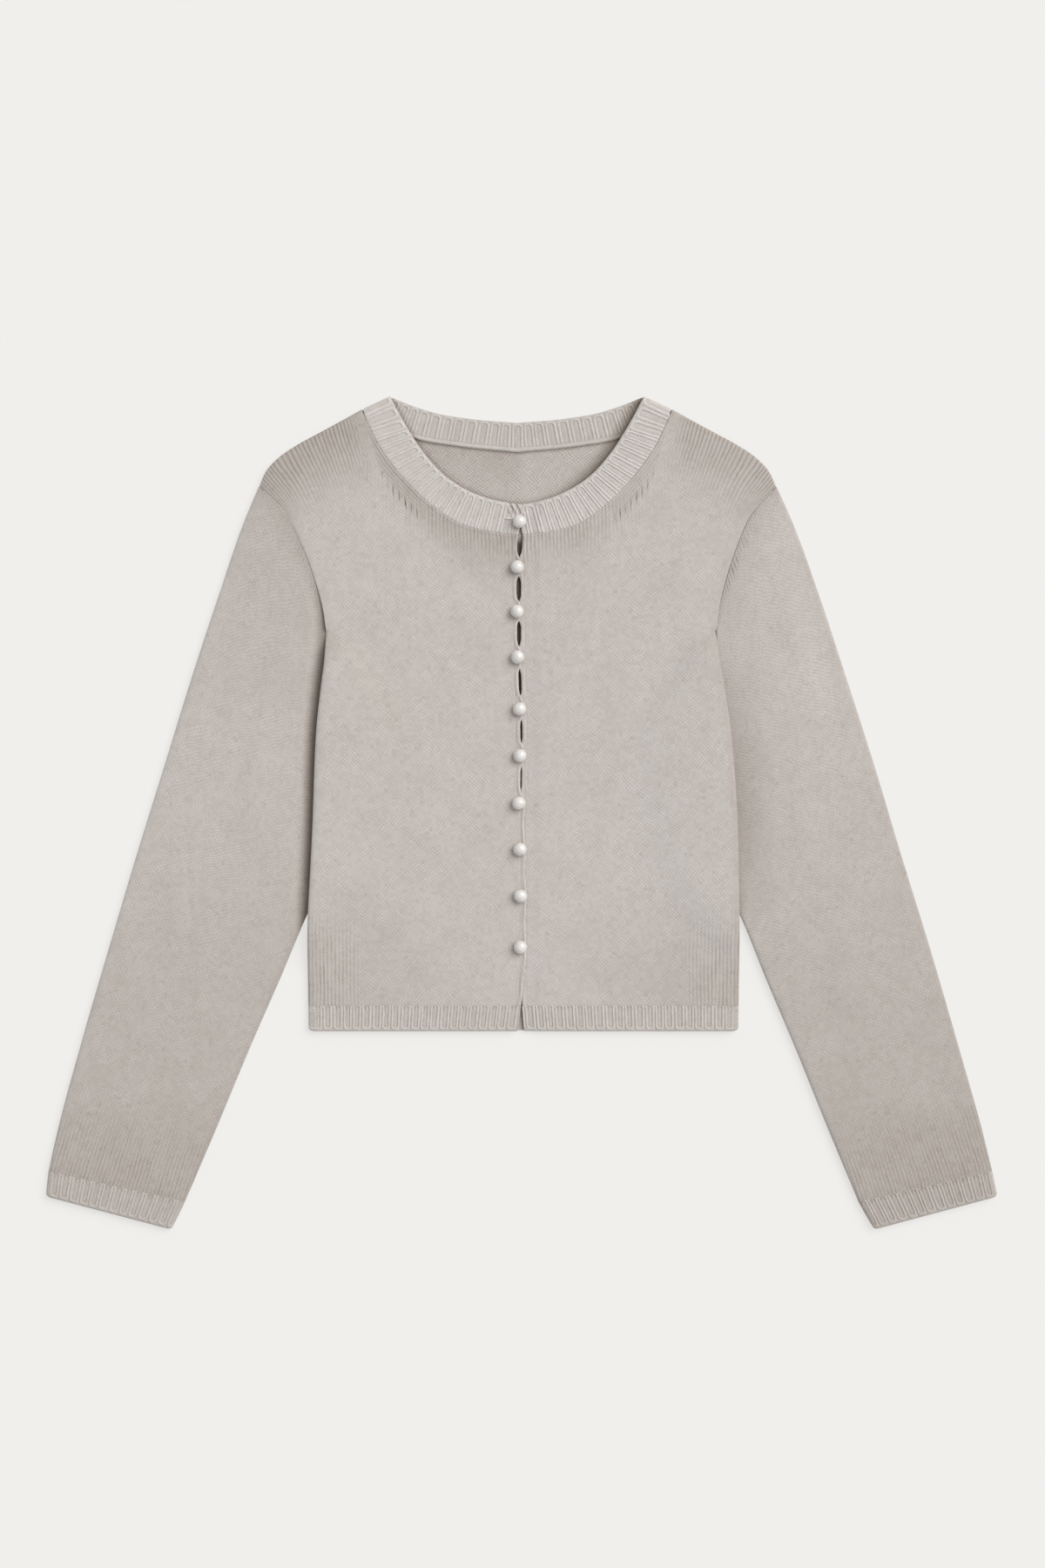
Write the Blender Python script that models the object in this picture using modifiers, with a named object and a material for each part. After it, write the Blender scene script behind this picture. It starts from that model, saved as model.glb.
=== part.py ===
"""A knitted cardigan with ten shank buttons, buttoned up and laid flat with its front up.

X runs across the chest from the wearer's right (-X) to the wearer's left (+X), Y runs up the
body to the neck, and Z is up from the surface it lies on, which is Z = 0. Sizes are in
millimetres, and MM turns them into metres where a mesh is made.

Each piece of cloth is a wall with an outer and an inner skin, worked out row by row from
tables of half widths. Two layers lie on each other. Along a folded edge both round in to the
middle height, where their seam is, as along the sides of the body and over the shoulders.
"""

from collections import namedtuple

import bmesh
import bpy
import numpy as np

MM = 0.001
ORIGIN = np.array([0.25, 0.0, 0.0])  # the middle of the whole outline, in the tables' frame
RIGHT, LEFT = -1, 1  # the wearer's sides, as the sign of X

# Cloth, in millimetres
WALL = 2.0  # thickness of the knit
DEPTH = 7.2  # both layers and the air between them, where they lie flat
FOLD = 6.0  # how far in from a folded edge the layers reach that depth
SEAM = 0.3  # gap between two pieces that are linked together
RIB_HEIGHT = 0.8  # how far a rib stands out from the cloth
RIB_SHARES = (0.0, 0.55, 0.78)  # where each rib's groove starts and ends, and its crest
CREST = (0.0, 0.0, 1.0)  # the height at those places
RIM_SHARE = 0.6  # thickness of a free edge, as a share of the wall
RIB_RUN = 0.88  # share of a band's width over which its ribs keep their height
HEM_RIBS, CUFF_RIBS = 21, 12  # on half the hem, and on the side of a cuff that is up
UNDER_EVERY = 6  # the underside of a cuff is plain, with this share of the top's columns
CORNER = 3.0  # how far a corner of a hem or cuff is rounded off
BACK_HEM_COLUMNS = 5  # on half the back's hem, which is plain
BACK_SHORT = 0.5  # how much shorter than the fronts the back is
CORNER_ROWS = np.array([0, 0.6, 1])[:, None]  # share of that at a band's seam, crests and rim

# Heights of the main lines
HEM_END = -185.7
HEM_SEAM = -164.3
UNDERARM = 153.5

# Half width of the body at each height, from the hem to the underarm
SideRow = namedtuple("SideRow", "y half")
BODY_SIDE = (
    SideRow(-185.7, 182.8),
    SideRow(-94.0, 183.3),
    SideRow(-55.5, 182.0),
    SideRow(-3.7, 180.2),
    SideRow(40.0, 178.1),
    SideRow(75.5, 175.4),
    SideRow(106.6, 171.3),
    SideRow(134.7, 167.3),
    SideRow(153.5, 165.6),
)

# The middle of the body leans a little as it lies
CentreRow = namedtuple("CentreRow", "y x")
CENTRE = (
    CentreRow(-185.7, 1.9),
    CentreRow(-94.0, 2.0),
    CentreRow(-3.7, 3.3),
    CentreRow(75.5, 1.9),
    CentreRow(153.5, 0.2),
    CentreRow(225.7, -1.4),
    CentreRow(277.5, -3.0),
    CentreRow(354.5, -3.7),
)

# The armhole seam from the underarm up to the shoulder, and the shoulder on to the neckband
SeamRow = namedtuple("SeamRow", "share half y")
ARMHOLE = (
    SeamRow(0.0, 166.3, 153.5),
    SeamRow(0.133, 169.3, 171.7),
    SeamRow(0.333, 175.4, 198.7),
    SeamRow(0.54, 184.7, 225.7),
    SeamRow(0.784, 199.4, 256.0),
    SeamRow(1.0, 220.2, 277.5),
)
SHOULDER = (
    SeamRow(0.0, 220.2, 277.5),
    SeamRow(0.122, 214.5, 290.0),
    SeamRow(0.254, 204.5, 301.0),
    SeamRow(0.433, 188.0, 312.4),
    SeamRow(0.631, 168.5, 323.0),
    SeamRow(0.818, 150.0, 333.0),
    SeamRow(1.0, 132.1, 343.0),
)

# The neckband's seam with the body and its free edge, from the shoulder to the middle
BandRow = namedtuple("BandRow", "share seam_half seam_y free_half free_y")
FRONT_BAND = (
    BandRow(0.0, 132.1, 343.0, 108.2, 354.1),
    BandRow(0.2, 116.6, 310.1, 93.7, 327.7),
    BandRow(0.375, 97.7, 284.9, 79.4, 305.8),
    BandRow(0.56, 74.0, 261.6, 60.6, 285.5),
    BandRow(0.7, 52.5, 246.8, 43.0, 274.1),
    BandRow(0.855, 25.9, 239.0, 21.4, 265.5),
    BandRow(1.0, 0.0, 236.1, 0.0, 261.6),
)
BACK_BAND = (
    BandRow(0.0, 132.1, 343.0, 108.2, 354.1),
    BandRow(0.183, 111.0, 328.6, 89.2, 346.5),
    BandRow(0.362, 88.1, 318.6, 70.3, 340.5),
    BandRow(0.627, 51.8, 312.0, 41.3, 335.5),
    BandRow(1.0, 0.0, 306.7, 0.0, 331.8),
)
BAND_FOLD = 4.0  # how far in from the shoulder's fold the neckband starts to turn over it
BAND_TURNS = (20, 50, 75, 90, 105, 130, 160)  # degrees of that turn at which it has a row
FRONT_TURN, BACK_TURN = 0.035, 0.085  # share of each half band that the turn takes up
EDGE_REACH = 0.35  # share of a front half over which its end follows the front's edge
PLAIN_END = 0.97  # share of a front half beyond which it has no ribs, where the two overlap
BAND_GAP = 0.4  # between the neckband and the body
FOLD_GAP = 1.6  # the same, where the neckband folds over
INWARD = np.array([-0.42, -0.907])  # square to the shoulder, as a half width and a height
FRONT_RIBS, BACK_RIBS = 18, 14  # ribs on each half of the neckband

# The sleeve's outer and inner edges, as they lie, from the cuff seam up
SleeveRow = namedtuple("SleeveRow", "y half centre")
SLEEVE_OUTER = (
    SleeveRow(-304.9, 401.5, -0.7),
    SleeveRow(-268.6, 392.9, -1.1),
    SleeveRow(-197.6, 373.3, -1.5),
    SleeveRow(-108.8, 347.4, -1.5),
    SleeveRow(-34.8, 324.9, -1.9),
    SleeveRow(39.2, 302.3, -1.5),
    SleeveRow(113.2, 279.0, -1.9),
    SleeveRow(187.2, 254.6, -1.9),
    SleeveRow(249.4, 232.4, -2.6),
    SleeveRow(277.5, 220.2, -3.0),
)
SLEEVE_INNER = (
    SleeveRow(-330.8, 286.4, 0.4),
    SleeveRow(-268.6, 260.1, 0.7),
    SleeveRow(-197.6, 230.9, 1.1),
    SleeveRow(-138.4, 205.4, 1.5),
    SleeveRow(-94.0, 187.2, 1.9),
    SleeveRow(-42.0, 163.5, 1.9),
    SleeveRow(12.0, 151.5, 1.8),
    SleeveRow(55.0, 148.8, 1.5),
    SleeveRow(96.0, 155.0, 1.0),
    SleeveRow(125.0, 163.6, 0.5),
    SleeveRow(136.0, 166.9, 0.5),
    SleeveRow(142.0, 168.3, 0.4),
    SleeveRow(148.0, 168.3, 0.3),
    SleeveRow(153.5, 166.5, 0.2),
)
CUFF_OUTER_END = SleeveRow(-326.0, 404.8, 0.4)
CUFF_INNER_END = SleeveRow(-354.4, 298.0, 1.4)
SLEEVE_ROWS = (0.0, 0.022, 0.05, 0.1, 0.16, 0.24, 0.33, 0.42, 0.52, 0.62, 0.73, 0.86, 1.0)
BOW_REACH = 0.35  # share of the sleeve over which the curve of the armhole fades out

# Where the body's side lies on the sleeve, it is lifted by the sleeve's depth
LIFT = 7.8
LIFT_RAMP = 60.0  # how far in the body comes down to the surface again
LIFT_CORNER = 18.0  # the same at the underarm and at the hem
LIFT_WIDEN = 90.0  # over this height it widens from the one to the other
LIFT_MARGIN = 10.0  # how far past the sleeve's inner edge it stays up
LIFT_TOP, LIFT_FULL_TOP = UNDERARM, 133.0
LIFT_FULL_FOOT, LIFT_FOOT = -98.0, -150.0

# Buttons: place, and the gap that shows between the fronts below each, less than 0 for none
Button = namedtuple("Button", "x y gap")
BUTTONS = (
    Button(-1.5, 247.2, 4.4),
    Button(-3.3, 208.7, 3.7),
    Button(-3.3, 170.9, 3.3),
    Button(-3.1, 132.1, 2.2),
    Button(-1.4, 88.1, 1.5),
    Button(-0.9, 48.5, 1.1),
    Button(-2.0, 8.1, -6.0),
    Button(-1.0, -31.1, -6.0),
    Button(-0.5, -70.6, -6.0),
    Button(-0.7, -114.0, -3.0),
)
OVERLAP = 4.0  # how far each front passes the line of the edges at a button
EDGE_LINE = 1.2  # how far that line lies to the wearer's left of the buttons
NOTCH_TOP, NOTCH_FOOT = 0.55, 2.95  # half the slit between the hem bands, at its two ends
DIP = 2.4  # the left front goes down this far to slip under the right one
DIP_FULL, DIP_END = 7.5, 18.5  # X where it starts to go down, and where it is down

# The pearl button and its hole
PEARL_RADIUS = 5.75
PEARL_HEIGHT = 8.4
PEARL_STAND = 0.5  # clear of the cloth
BELLY_SHARE = 0.4  # how high up the pearl is widest, as a share of its height
PEARL_ANGLES = (65, 40, 18, 0, -30, -62)  # degrees above that at which its outline has points
SHANK_RADIUS = 1.0
HOLE_LENGTH, HOLE_WIDTH = 9.0, 2.8
HOLE_SHIFT = 1.6  # the shank pulls to one end of its hole
HOLE_FOOT = 0.15  # how far above the cloth under it a hole's cutter ends
ROUND_STEPS = 12

# Rows and columns of the body panels
CAP_STEPS = (0, 0.014, 0.04, 0.13, 0.21, 0.325, 0.44, 0.555, 0.668, 0.78, 0.9, 0.96, 0.986, 1)
CAP_FOLD = 0.04  # share of the armhole that a fold takes up
SIDE_PULL, MIDDLE_PULL = 90.0, 60.0  # how far in the armhole and the front edge bend the columns
SIDE_STEPS = (0.0, 2.1, 6.0, 20.0, 34.0, 50.0, 68.0, 88.0)  # in from the side edge
SHOULDER_STEPS = (0.0, 0.02, 0.055, 0.2, 0.4, 0.6, 0.8, 1.0)  # the same columns at the top
Panel = namedtuple("Panel", "rows spare middle_steps band neck_steps")
FRONT = Panel(
    (-164.3, -138, -118, -98, -55, -10, 28.4, 48.5, 68.3, 88, 110, 125, 132, 138, 144, 153.5),
    5,
    (24.0, 13.0, 5.0, 0.0),
    FRONT_BAND,
    (0.05, 0.17, 0.3, 0.43, 0.56, 0.69, 0.81, 0.92, 1.0),
)
BACK = Panel(
    (-164.3, -138, -118, -98, -50, 0, 50, 90, 112, 125, 132, 138, 144, 153.5),
    3,
    (0.0,),
    BACK_BAND,
    (0.08, 0.35, 0.65, 1.0),
)

KNIT = (0.552, 0.515, 0.479)  # warm light grey wool
PEARL = (0.80, 0.79, 0.77)


def clear_scene():
    for item in list(bpy.data.objects):
        bpy.data.objects.remove(item)


def collection(name):
    made = bpy.data.collections.new(name)
    bpy.context.scene.collection.children.link(made)
    return made


def material(name, colour, roughness):
    made = bpy.data.materials.new(name)
    made.use_nodes = True
    shader = made.node_tree.nodes["Principled BSDF"]
    shader.inputs["Base Color"].default_value = (*colour, 1.0)
    shader.inputs["Roughness"].default_value = roughness
    return made


def smooth(table, column, at):
    """One column of a table, read between its rows along a smooth curve.

    Between two rows it is a cubic, whose slope at each row is set by that row's neighbours.
    """
    rows = np.array(table, float)
    knots, values = rows[:, 0], rows[:, column]
    slopes = np.gradient(values, knots)
    row = np.clip(np.searchsorted(knots, at) - 1, 0, len(knots) - 2)
    step = knots[row + 1] - knots[row]
    t = np.clip((at - knots[row]) / step, 0, 1)
    rise = values[row + 1] - values[row]
    bend = (1 - t) * slopes[row] - t * slopes[row + 1]
    return values[row] + rise * t * t * (3 - 2 * t) + step * t * (1 - t) * bend


def ease(share):
    """0 to 1 with level ends, as share goes from 0 to 1."""
    share = np.clip(share, 0, 1)
    return share * share * (3 - 2 * share)


def dome(share):
    """A quarter circle, from 0 at a folded edge to 1 where share is 1 or more."""
    return np.sqrt(1 - (1 - np.clip(share, 0, 1)) ** 2)


def left_over(share):
    """How much of the wall's thickness still lies sideways, from 1 at a fold to 0."""
    return 1 - np.clip(share, 0, 1)


def centre(y):
    return smooth(CENTRE, 1, y)


def between(start, end, share):
    return start + (end - start) * share


def lift(half, y):
    """How far the body is lifted at a half width and a height, by the sleeve under it."""
    up = ease((LIFT_TOP - y) / (LIFT_TOP - LIFT_FULL_TOP))
    down = ease((y - LIFT_FOOT) / (LIFT_FULL_FOOT - LIFT_FOOT))
    widen = ease((LIFT_TOP - y) / LIFT_WIDEN) * ease((y - LIFT_FOOT) / LIFT_WIDEN)
    ramp = between(LIFT_CORNER, LIFT_RAMP, widen)
    reach = smooth(SLEEVE_INNER, 1, y) - LIFT_MARGIN
    return LIFT * up * down * ease((half - reach + ramp) / ramp)


def opening_table():
    """Rows of (y, line of the edges, overlap) from the hem up, one at each button and gap."""
    rows = [(HEM_END, -0.35, -NOTCH_FOOT), (HEM_SEAM, 0.15, -NOTCH_TOP)]
    for number in range(len(BUTTONS) - 1, -1, -1):
        button = BUTTONS[number]
        if number < len(BUTTONS) - 1:
            below = BUTTONS[number + 1]
            line = (button.x + below.x) / 2 + EDGE_LINE
            rows.append(((button.y + below.y) / 2, line, -button.gap / 2))
        rows.append((button.y, button.x + EDGE_LINE, OVERLAP))
    return tuple(rows)


OPENING = opening_table()


def front_edge(side, y):
    """X of a front's edge at the opening."""
    return smooth(OPENING, 1, y) - side * smooth(OPENING, 2, y)


def edge_half(side, y):
    """The same as a half width, less than 0 where it passes the centre."""
    return side * (front_edge(side, y) - centre(y))


def dip(side, x):
    """How far down the left front goes to slip under the right one."""
    return DIP * (1 - ease((x - DIP_FULL) / (DIP_END - DIP_FULL))) * (side == LEFT)


def seam_points(table, steps):
    """(half width, height) at each share of a seam."""
    steps = np.array(steps, float)
    return np.stack([smooth(table, 1, steps), smooth(table, 2, steps)], axis=-1)


def body_plan(panel, side, middle, skin_inset):
    """Half widths, heights and fullness of half a body panel, columns from its side inwards.

    skin_inset is how far in from a fold the skin starts, 0 for the outer one. Fullness is 0
    at a fold and 1 where the layers have their whole depth.
    """
    side_steps = np.array(SIDE_STEPS)
    spare = np.arange(1, panel.spare + 1) / (panel.spare + 1)
    rows = np.array(panel.rows, float)[:, None]
    half = smooth(BODY_SIDE, 1, rows)
    inner = middle(rows)
    from_side = half - side_steps
    from_middle = inner + np.array(panel.middle_steps)
    spread = between(from_side[:, -1:], from_middle[:, :1], spare)
    lower = np.hstack([from_side, spread, from_middle])
    lower_full = np.ones_like(lower) * dome(column_share(lower.shape[1]))
    lower_inset = skin_inset * left_over(column_share(lower.shape[1]))
    lower_points = np.stack([lower - lower_inset, rows + 0 * lower], axis=-1)

    steps = np.array(CAP_STEPS[1:], float)[:, None]
    start = np.stack([lower[-1], np.full(lower.shape[1], UNDERARM)], axis=-1)
    top = np.vstack([seam_points(SHOULDER, SHOULDER_STEPS), seam_points(panel.band, panel.neck_steps)])
    straight = between(start, top, steps[:, :, None])
    armhole = seam_points(ARMHOLE, CAP_STEPS[1:]) - [SEAM * 1.5, 0]
    middle_y = between(UNDERARM, top[-1, 1], steps[:, 0])
    middle_edge = np.stack([middle(middle_y), middle_y], axis=-1)
    side_pull = np.clip(1 - (start[0, 0] - start[:, 0]) / SIDE_PULL, 0, 1) ** 2
    middle_pull = np.clip(1 - (start[:, 0] - start[-1, 0]) / MIDDLE_PULL, 0, 1) ** 2
    pull_out = (armhole - straight[:, 0])[:, None] * side_pull[:, None]
    pull_in = (middle_edge - straight[:, -1])[:, None] * middle_pull[:, None]
    upper_points = straight + pull_out + pull_in
    near_side = column_share(lower.shape[1])
    rising = np.maximum(dome(near_side), dome(steps / CAP_FOLD))
    on_shoulder = np.arange(lower.shape[1]) < len(SHOULDER_STEPS)
    falling = np.where(on_shoulder, dome((1 - steps) / CAP_FOLD), 1)
    upper_full = np.minimum(rising, falling)
    side_inset = skin_inset * left_over(near_side) * left_over(steps / CAP_FOLD)
    top_inset = skin_inset * left_over((1 - steps) / CAP_FOLD) * on_shoulder
    upper_points = upper_points + top_inset[:, :, None] * INWARD
    upper_points[:, :, 0] -= side_inset
    points = np.concatenate([lower_points, upper_points])
    return points, np.concatenate([lower_full, upper_full])


def column_share(columns):
    """How far across the side fold each column is, from 0 at the edge to 1 or more."""
    share = np.ones(columns)
    share[: len(SIDE_STEPS)] = np.array(SIDE_STEPS) / FOLD
    return share


def place(side, plan, height):
    """Points in space from half widths and heights in the plan, and heights off the surface."""
    x = centre(plan[..., 1]) + side * plan[..., 0]
    return np.stack([x, plan[..., 1], height], axis=-1)


def front_skins(side, outer_plan, inner_plan, full, relief=0.0):
    """The outer and inner skin of a layer that lies on top, from their plans."""
    middle, half_seam = DEPTH / 2, SEAM / 2
    outer_z = middle + half_seam + (DEPTH / 2 - half_seam) * full + relief
    inner_z = middle + half_seam + (DEPTH / 2 - WALL - half_seam) * full
    skins = []
    for plan, z in ((outer_plan, outer_z), (inner_plan, inner_z)):
        skin = place(side, plan, z + lift(plan[..., 0], plan[..., 1]))
        skin[..., 2] -= dip(side, skin[..., 0])
        skins.append(skin)
    return skins


def back_skins(side, outer_plan, inner_plan, full):
    """The same for the layer that rests on the surface."""
    middle, half_seam = DEPTH / 2, SEAM / 2
    outer_z = (middle - half_seam) * (1 - full)
    inner_z = middle - half_seam - (DEPTH / 2 - WALL - half_seam) * full
    return [
        place(side, plan, z + lift(plan[..., 0], plan[..., 1]))
        for plan, z in ((outer_plan, outer_z), (inner_plan, inner_z))
    ]


def across(right_half, left_half):
    """Both halves of a piece as one grid, from the right side to the left."""
    return np.hstack([right_half, left_half[:, ::-1][:, 1:]])


def shell(name, outer, inner, look, ring=False):
    """A closed wall between two skins, which are grids of the same size; ring joins the ends."""
    rows, columns = outer.shape[:2]
    count = rows * columns
    index = np.arange(count).reshape(rows, columns)
    if ring:
        index = np.hstack([index, index[:, :1]])
    skin = np.stack([index[:-1, :-1], index[:-1, 1:], index[1:, 1:], index[1:, :-1]], axis=-1)
    skin = skin.reshape(-1, 4)
    borders = [index[0], index[-1]]
    if not ring:
        borders += [index[:, 0], index[:, -1]]
    rims = [
        np.stack([line[:-1], line[1:], line[1:] + count, line[:-1] + count], axis=-1)
        for line in borders
    ]
    faces = np.vstack([skin, skin + count, *rims])
    points = (np.vstack([outer.reshape(-1, 3), inner.reshape(-1, 3)]) - ORIGIN) * MM
    mesh = bpy.data.meshes.new(name)
    mesh.from_pydata(points.tolist(), [], faces.tolist())
    work = bmesh.new()
    work.from_mesh(mesh)
    bmesh.ops.recalc_face_normals(work, faces=work.faces)
    work.to_mesh(mesh)
    work.free()
    mesh.shade_smooth()
    mesh.set_sharp_from_angle(angle=0.9)
    mesh.materials.append(look)
    made = bpy.data.objects.new(name, mesh)
    GARMENT.objects.link(made)
    return made


def body_front(name, side):
    def middle(y):
        return edge_half(side, y)

    outer_plan, full = body_plan(FRONT, side, middle, 0.0)
    inner_plan, _ = body_plan(FRONT, side, middle, WALL)
    outer, inner = front_skins(side, outer_plan, inner_plan, full)
    return shell(name, outer, inner, WOOL)


def body_back():
    halves = []
    for side in (RIGHT, LEFT):
        outer_plan, full = body_plan(BACK, side, np.zeros_like, 0.0)
        inner_plan, _ = body_plan(BACK, side, np.zeros_like, WALL)
        halves.append(back_skins(side, outer_plan, inner_plan, full))
    return shell("back", across(halves[0][0], halves[1][0]), across(halves[0][1], halves[1][1]), WOOL)


def rib_stations(ribs):
    """Shares along a run of ribs, and the crest height at each, with a groove at both ends."""
    shares = (np.arange(ribs)[:, None] + np.array(RIB_SHARES)).ravel() / ribs
    crests = np.tile(CREST, ribs)
    return np.append(shares, 1.0), np.append(crests, 0.0)


def hem_plans(fold_steps, shares, inner_edge, end_y):
    """Plans of the two skins of half a hem band, columns from its side inwards, and fullness.

    inner_edge gives the half width at which the half ends, from the heights of the rows.
    """
    rows = np.array([HEM_SEAM - SEAM, between(HEM_SEAM, end_y, RIB_RUN), end_y])[:, None]
    half = smooth(BODY_SIDE, 1, rows)
    from_side = np.hstack([half - fold_steps, between(half - FOLD, inner_edge(rows), shares)])
    near_side = np.concatenate([fold_steps / FOLD, np.ones(len(shares))])
    corner = CORNER * (1 - dome(near_side)) * CORNER_ROWS
    outer_plan = np.stack([from_side, rows + corner], axis=-1)
    inner_plan = outer_plan - np.stack([WALL * left_over(near_side), 0 * near_side], axis=-1)
    return outer_plan, inner_plan, dome(near_side) + 0 * from_side


def hem_front(name, side):
    def inner_edge(y):
        return edge_half(side, y)

    shares, crests = rib_stations(HEM_RIBS)
    fold_steps = np.array(SIDE_STEPS[:2])
    outer_plan, inner_plan, full = hem_plans(fold_steps, shares, inner_edge, HEM_END)
    height = np.array([1, 1, 0])[:, None] * np.concatenate([0 * fold_steps, crests])
    outer, inner = front_skins(side, outer_plan, inner_plan, full, RIB_HEIGHT * height)
    thin_rim(outer[-1], inner[-1])
    return shell(name, outer, inner, RIBBING)


def thin_rim(outer_row, inner_row):
    """Draws the two skins together in height along a free edge."""
    spare = (outer_row[:, 2] - inner_row[:, 2]) * (1 - RIM_SHARE) / 2
    outer_row[:, 2] -= spare
    inner_row[:, 2] += spare


def hem_back():
    shares = np.arange(BACK_HEM_COLUMNS + 1) / BACK_HEM_COLUMNS
    fold_steps = np.array(SIDE_STEPS[:2])
    plans = hem_plans(fold_steps, shares, np.zeros_like, HEM_END + BACK_SHORT)
    halves = [back_skins(side, *plans) for side in (RIGHT, LEFT)]
    outer, inner = (across(halves[0][skin], halves[1][skin]) for skin in (0, 1))
    return shell("hem_back", outer, inner, RIBBING)


def sleeve_edges(side, share):
    """Plan points, as X and Y, on the sleeve's outer and inner edges at a share of its length."""
    points = []
    for table in (SLEEVE_OUTER, SLEEVE_INNER):
        y = between(table[-1].y, table[0].y, share)
        x = smooth(table, 2, y) + side * smooth(table, 1, y)
        points.append(np.stack([x, y], axis=-1))
    return points


def tube(outer_ends, inner_ends, bow, shares, top_relief, under):
    """Outer and inner skins of a flattened tube that rests on the surface.

    outer_ends and inner_ends are the plan points of the two folded edges, a row of each for
    each section. shares places the columns of the top, from the outer edge to the inner one,
    and under picks the ones that the underside has too.
    """
    run = inner_ends - outer_ends
    length = np.linalg.norm(run, axis=-1, keepdims=True)
    way = run / length
    level = outer_ends[:, None] + run[:, None] * shares[:, None] + bow
    near = np.minimum(shares, 1 - shares) / CAP_FOLD
    full = dome(near)
    sign = np.where(shares < 0.5, 1, -1)
    shift = (WALL * left_over(near) * sign)[:, None] * way[:, None]
    skins = []
    for plan, depth, relief in ((level, DEPTH, top_relief), (level + shift, DEPTH - 2 * WALL, 0)):
        top_z = (DEPTH + depth * full) / 2 + relief + 0 * plan[..., 0]
        low_z = (DEPTH - depth * full) / 2 + 0 * plan[..., 0]
        top = np.concatenate([plan, top_z[..., None]], axis=-1)
        low = np.concatenate([plan, low_z[..., None]], axis=-1)[:, under][:, ::-1]
        skins.append(np.hstack([top, low]))
    return skins


def sleeve(name, side):
    rows = np.array(SLEEVE_ROWS)
    outer_ends, inner_ends = sleeve_edges(side, rows)
    shares = 1 - np.array(CAP_STEPS[::-1], float)
    cap = seam_points(ARMHOLE, CAP_STEPS[::-1])
    cap = np.stack([centre(cap[:, 1]) + side * cap[:, 0], cap[:, 1]], axis=-1)
    outer_ends[0], inner_ends[0] = cap[0], cap[-1]
    bowed = cap - between(cap[0], cap[-1], shares[:, None])
    fade = np.clip(1 - rows / BOW_REACH, 0, 1) ** 2
    bow = bowed * fade[:, None, None]
    under = np.arange(1, len(shares) - 1)
    outer, inner = tube(outer_ends, inner_ends, bow, shares, 0, under)
    return shell(name, outer, inner, WOOL, ring=True)


def cuff_rows(seam, tip):
    """Plan points along one edge of a cuff: just past its seam, where its ribs end, its tip."""
    away = SEAM * (tip - seam) / np.linalg.norm(tip - seam)
    return np.stack([seam + away, between(seam, tip, RIB_RUN), tip])


def cuff(name, side):
    stations, crests = rib_stations(CUFF_RIBS)
    fold = np.array([0.0, SIDE_STEPS[1] / FOLD]) * CAP_FOLD
    ribbed = between(CAP_FOLD, 1 - CAP_FOLD, stations)
    shares = np.concatenate([fold, ribbed, 1 - fold[::-1]])
    crests = np.concatenate([[0, 0], crests, [0, 0]])
    seams = [ends[-1] for ends in sleeve_edges(side, np.array([0.0, 1.0]))]
    tips = [
        np.array([row.centre + side * row.half, row.y]) for row in (CUFF_OUTER_END, CUFF_INNER_END)
    ]
    outer_ends, inner_ends = (cuff_rows(seam, tip) for seam, tip in zip(seams, tips))
    near = np.minimum(shares, 1 - shares) / CAP_FOLD
    back_up = (seams[0] - tips[0]) / np.linalg.norm(seams[0] - tips[0])
    corner = CORNER * (1 - dome(near))[:, None] * back_up
    bow = corner * CORNER_ROWS[..., None]
    relief = RIB_HEIGHT * crests * np.array([1, 1, 0])[:, None]
    plain = np.arange(2, len(shares) - 1, UNDER_EVERY)
    under = np.concatenate([[1], plain, [len(shares) - 2]])
    outer, inner = tube(outer_ends, inner_ends, bow, shares, relief, under)
    level = slice(len(fold), len(shares) - len(fold))
    thin_rim(outer[-1, level], inner[-1, level])
    return shell(name, outer, inner, RIBBING, ring=True)


def panel_neckline(panel, side, middle):
    """The corner where the shoulder meets the neckband, and the panel's edge on to the middle."""
    plan, _ = body_plan(panel, side, middle, 0.0)
    return plan[-1, len(SHOULDER_STEPS) - 1 :]


def band_rows(table, neckline, neck_steps, shares, free_shift):
    """Plan of a flat part of the neckband: three points from its seam to its free edge.

    neckline is the panel's edge at neck_steps, and free_shift moves the free edge sideways.
    """
    steps = np.concatenate([[0.0], neck_steps])
    seam = np.stack([np.interp(shares, steps, neckline[:, axis]) for axis in (0, 1)], axis=-1)
    free = np.stack([smooth(table, 3, shares), smooth(table, 4, shares)], axis=-1)
    free[:, 0] += free_shift
    way = (free - seam) / np.linalg.norm(free - seam, axis=-1, keepdims=True)
    seam = seam + BAND_GAP * way
    return np.stack([seam, between(seam, free, RIB_RUN), free], axis=1)


def band_fold(angles, before, after):
    """Plan of the rows that turn over the shoulder, their height and which way they face.

    before and after are the flat rows on each side of the turn.
    """
    seam = np.array([FRONT_BAND[0].seam_half, FRONT_BAND[0].seam_y])
    free = np.array([FRONT_BAND[0].free_half, FRONT_BAND[0].free_y])
    way = (free - seam) / np.linalg.norm(free - seam)
    seam = seam + FOLD_GAP * way
    line = np.stack([seam, between(seam, free, RIB_RUN), free]) + INWARD * WALL / 2
    sweep = np.sin(angles)[:, None, None]
    nearer = np.where(angles[:, None, None] < np.pi / 2, before, after)
    plan = between(nearer, line, sweep)
    rise = (DEPTH - WALL) / 2
    height = DEPTH / 2 + rise * np.cos(angles)
    facing = np.stack([rise * np.sin(angles), BAND_FOLD * np.cos(angles)], axis=-1)
    facing /= np.linalg.norm(facing, axis=-1, keepdims=True)
    return plan, height, facing


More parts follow.
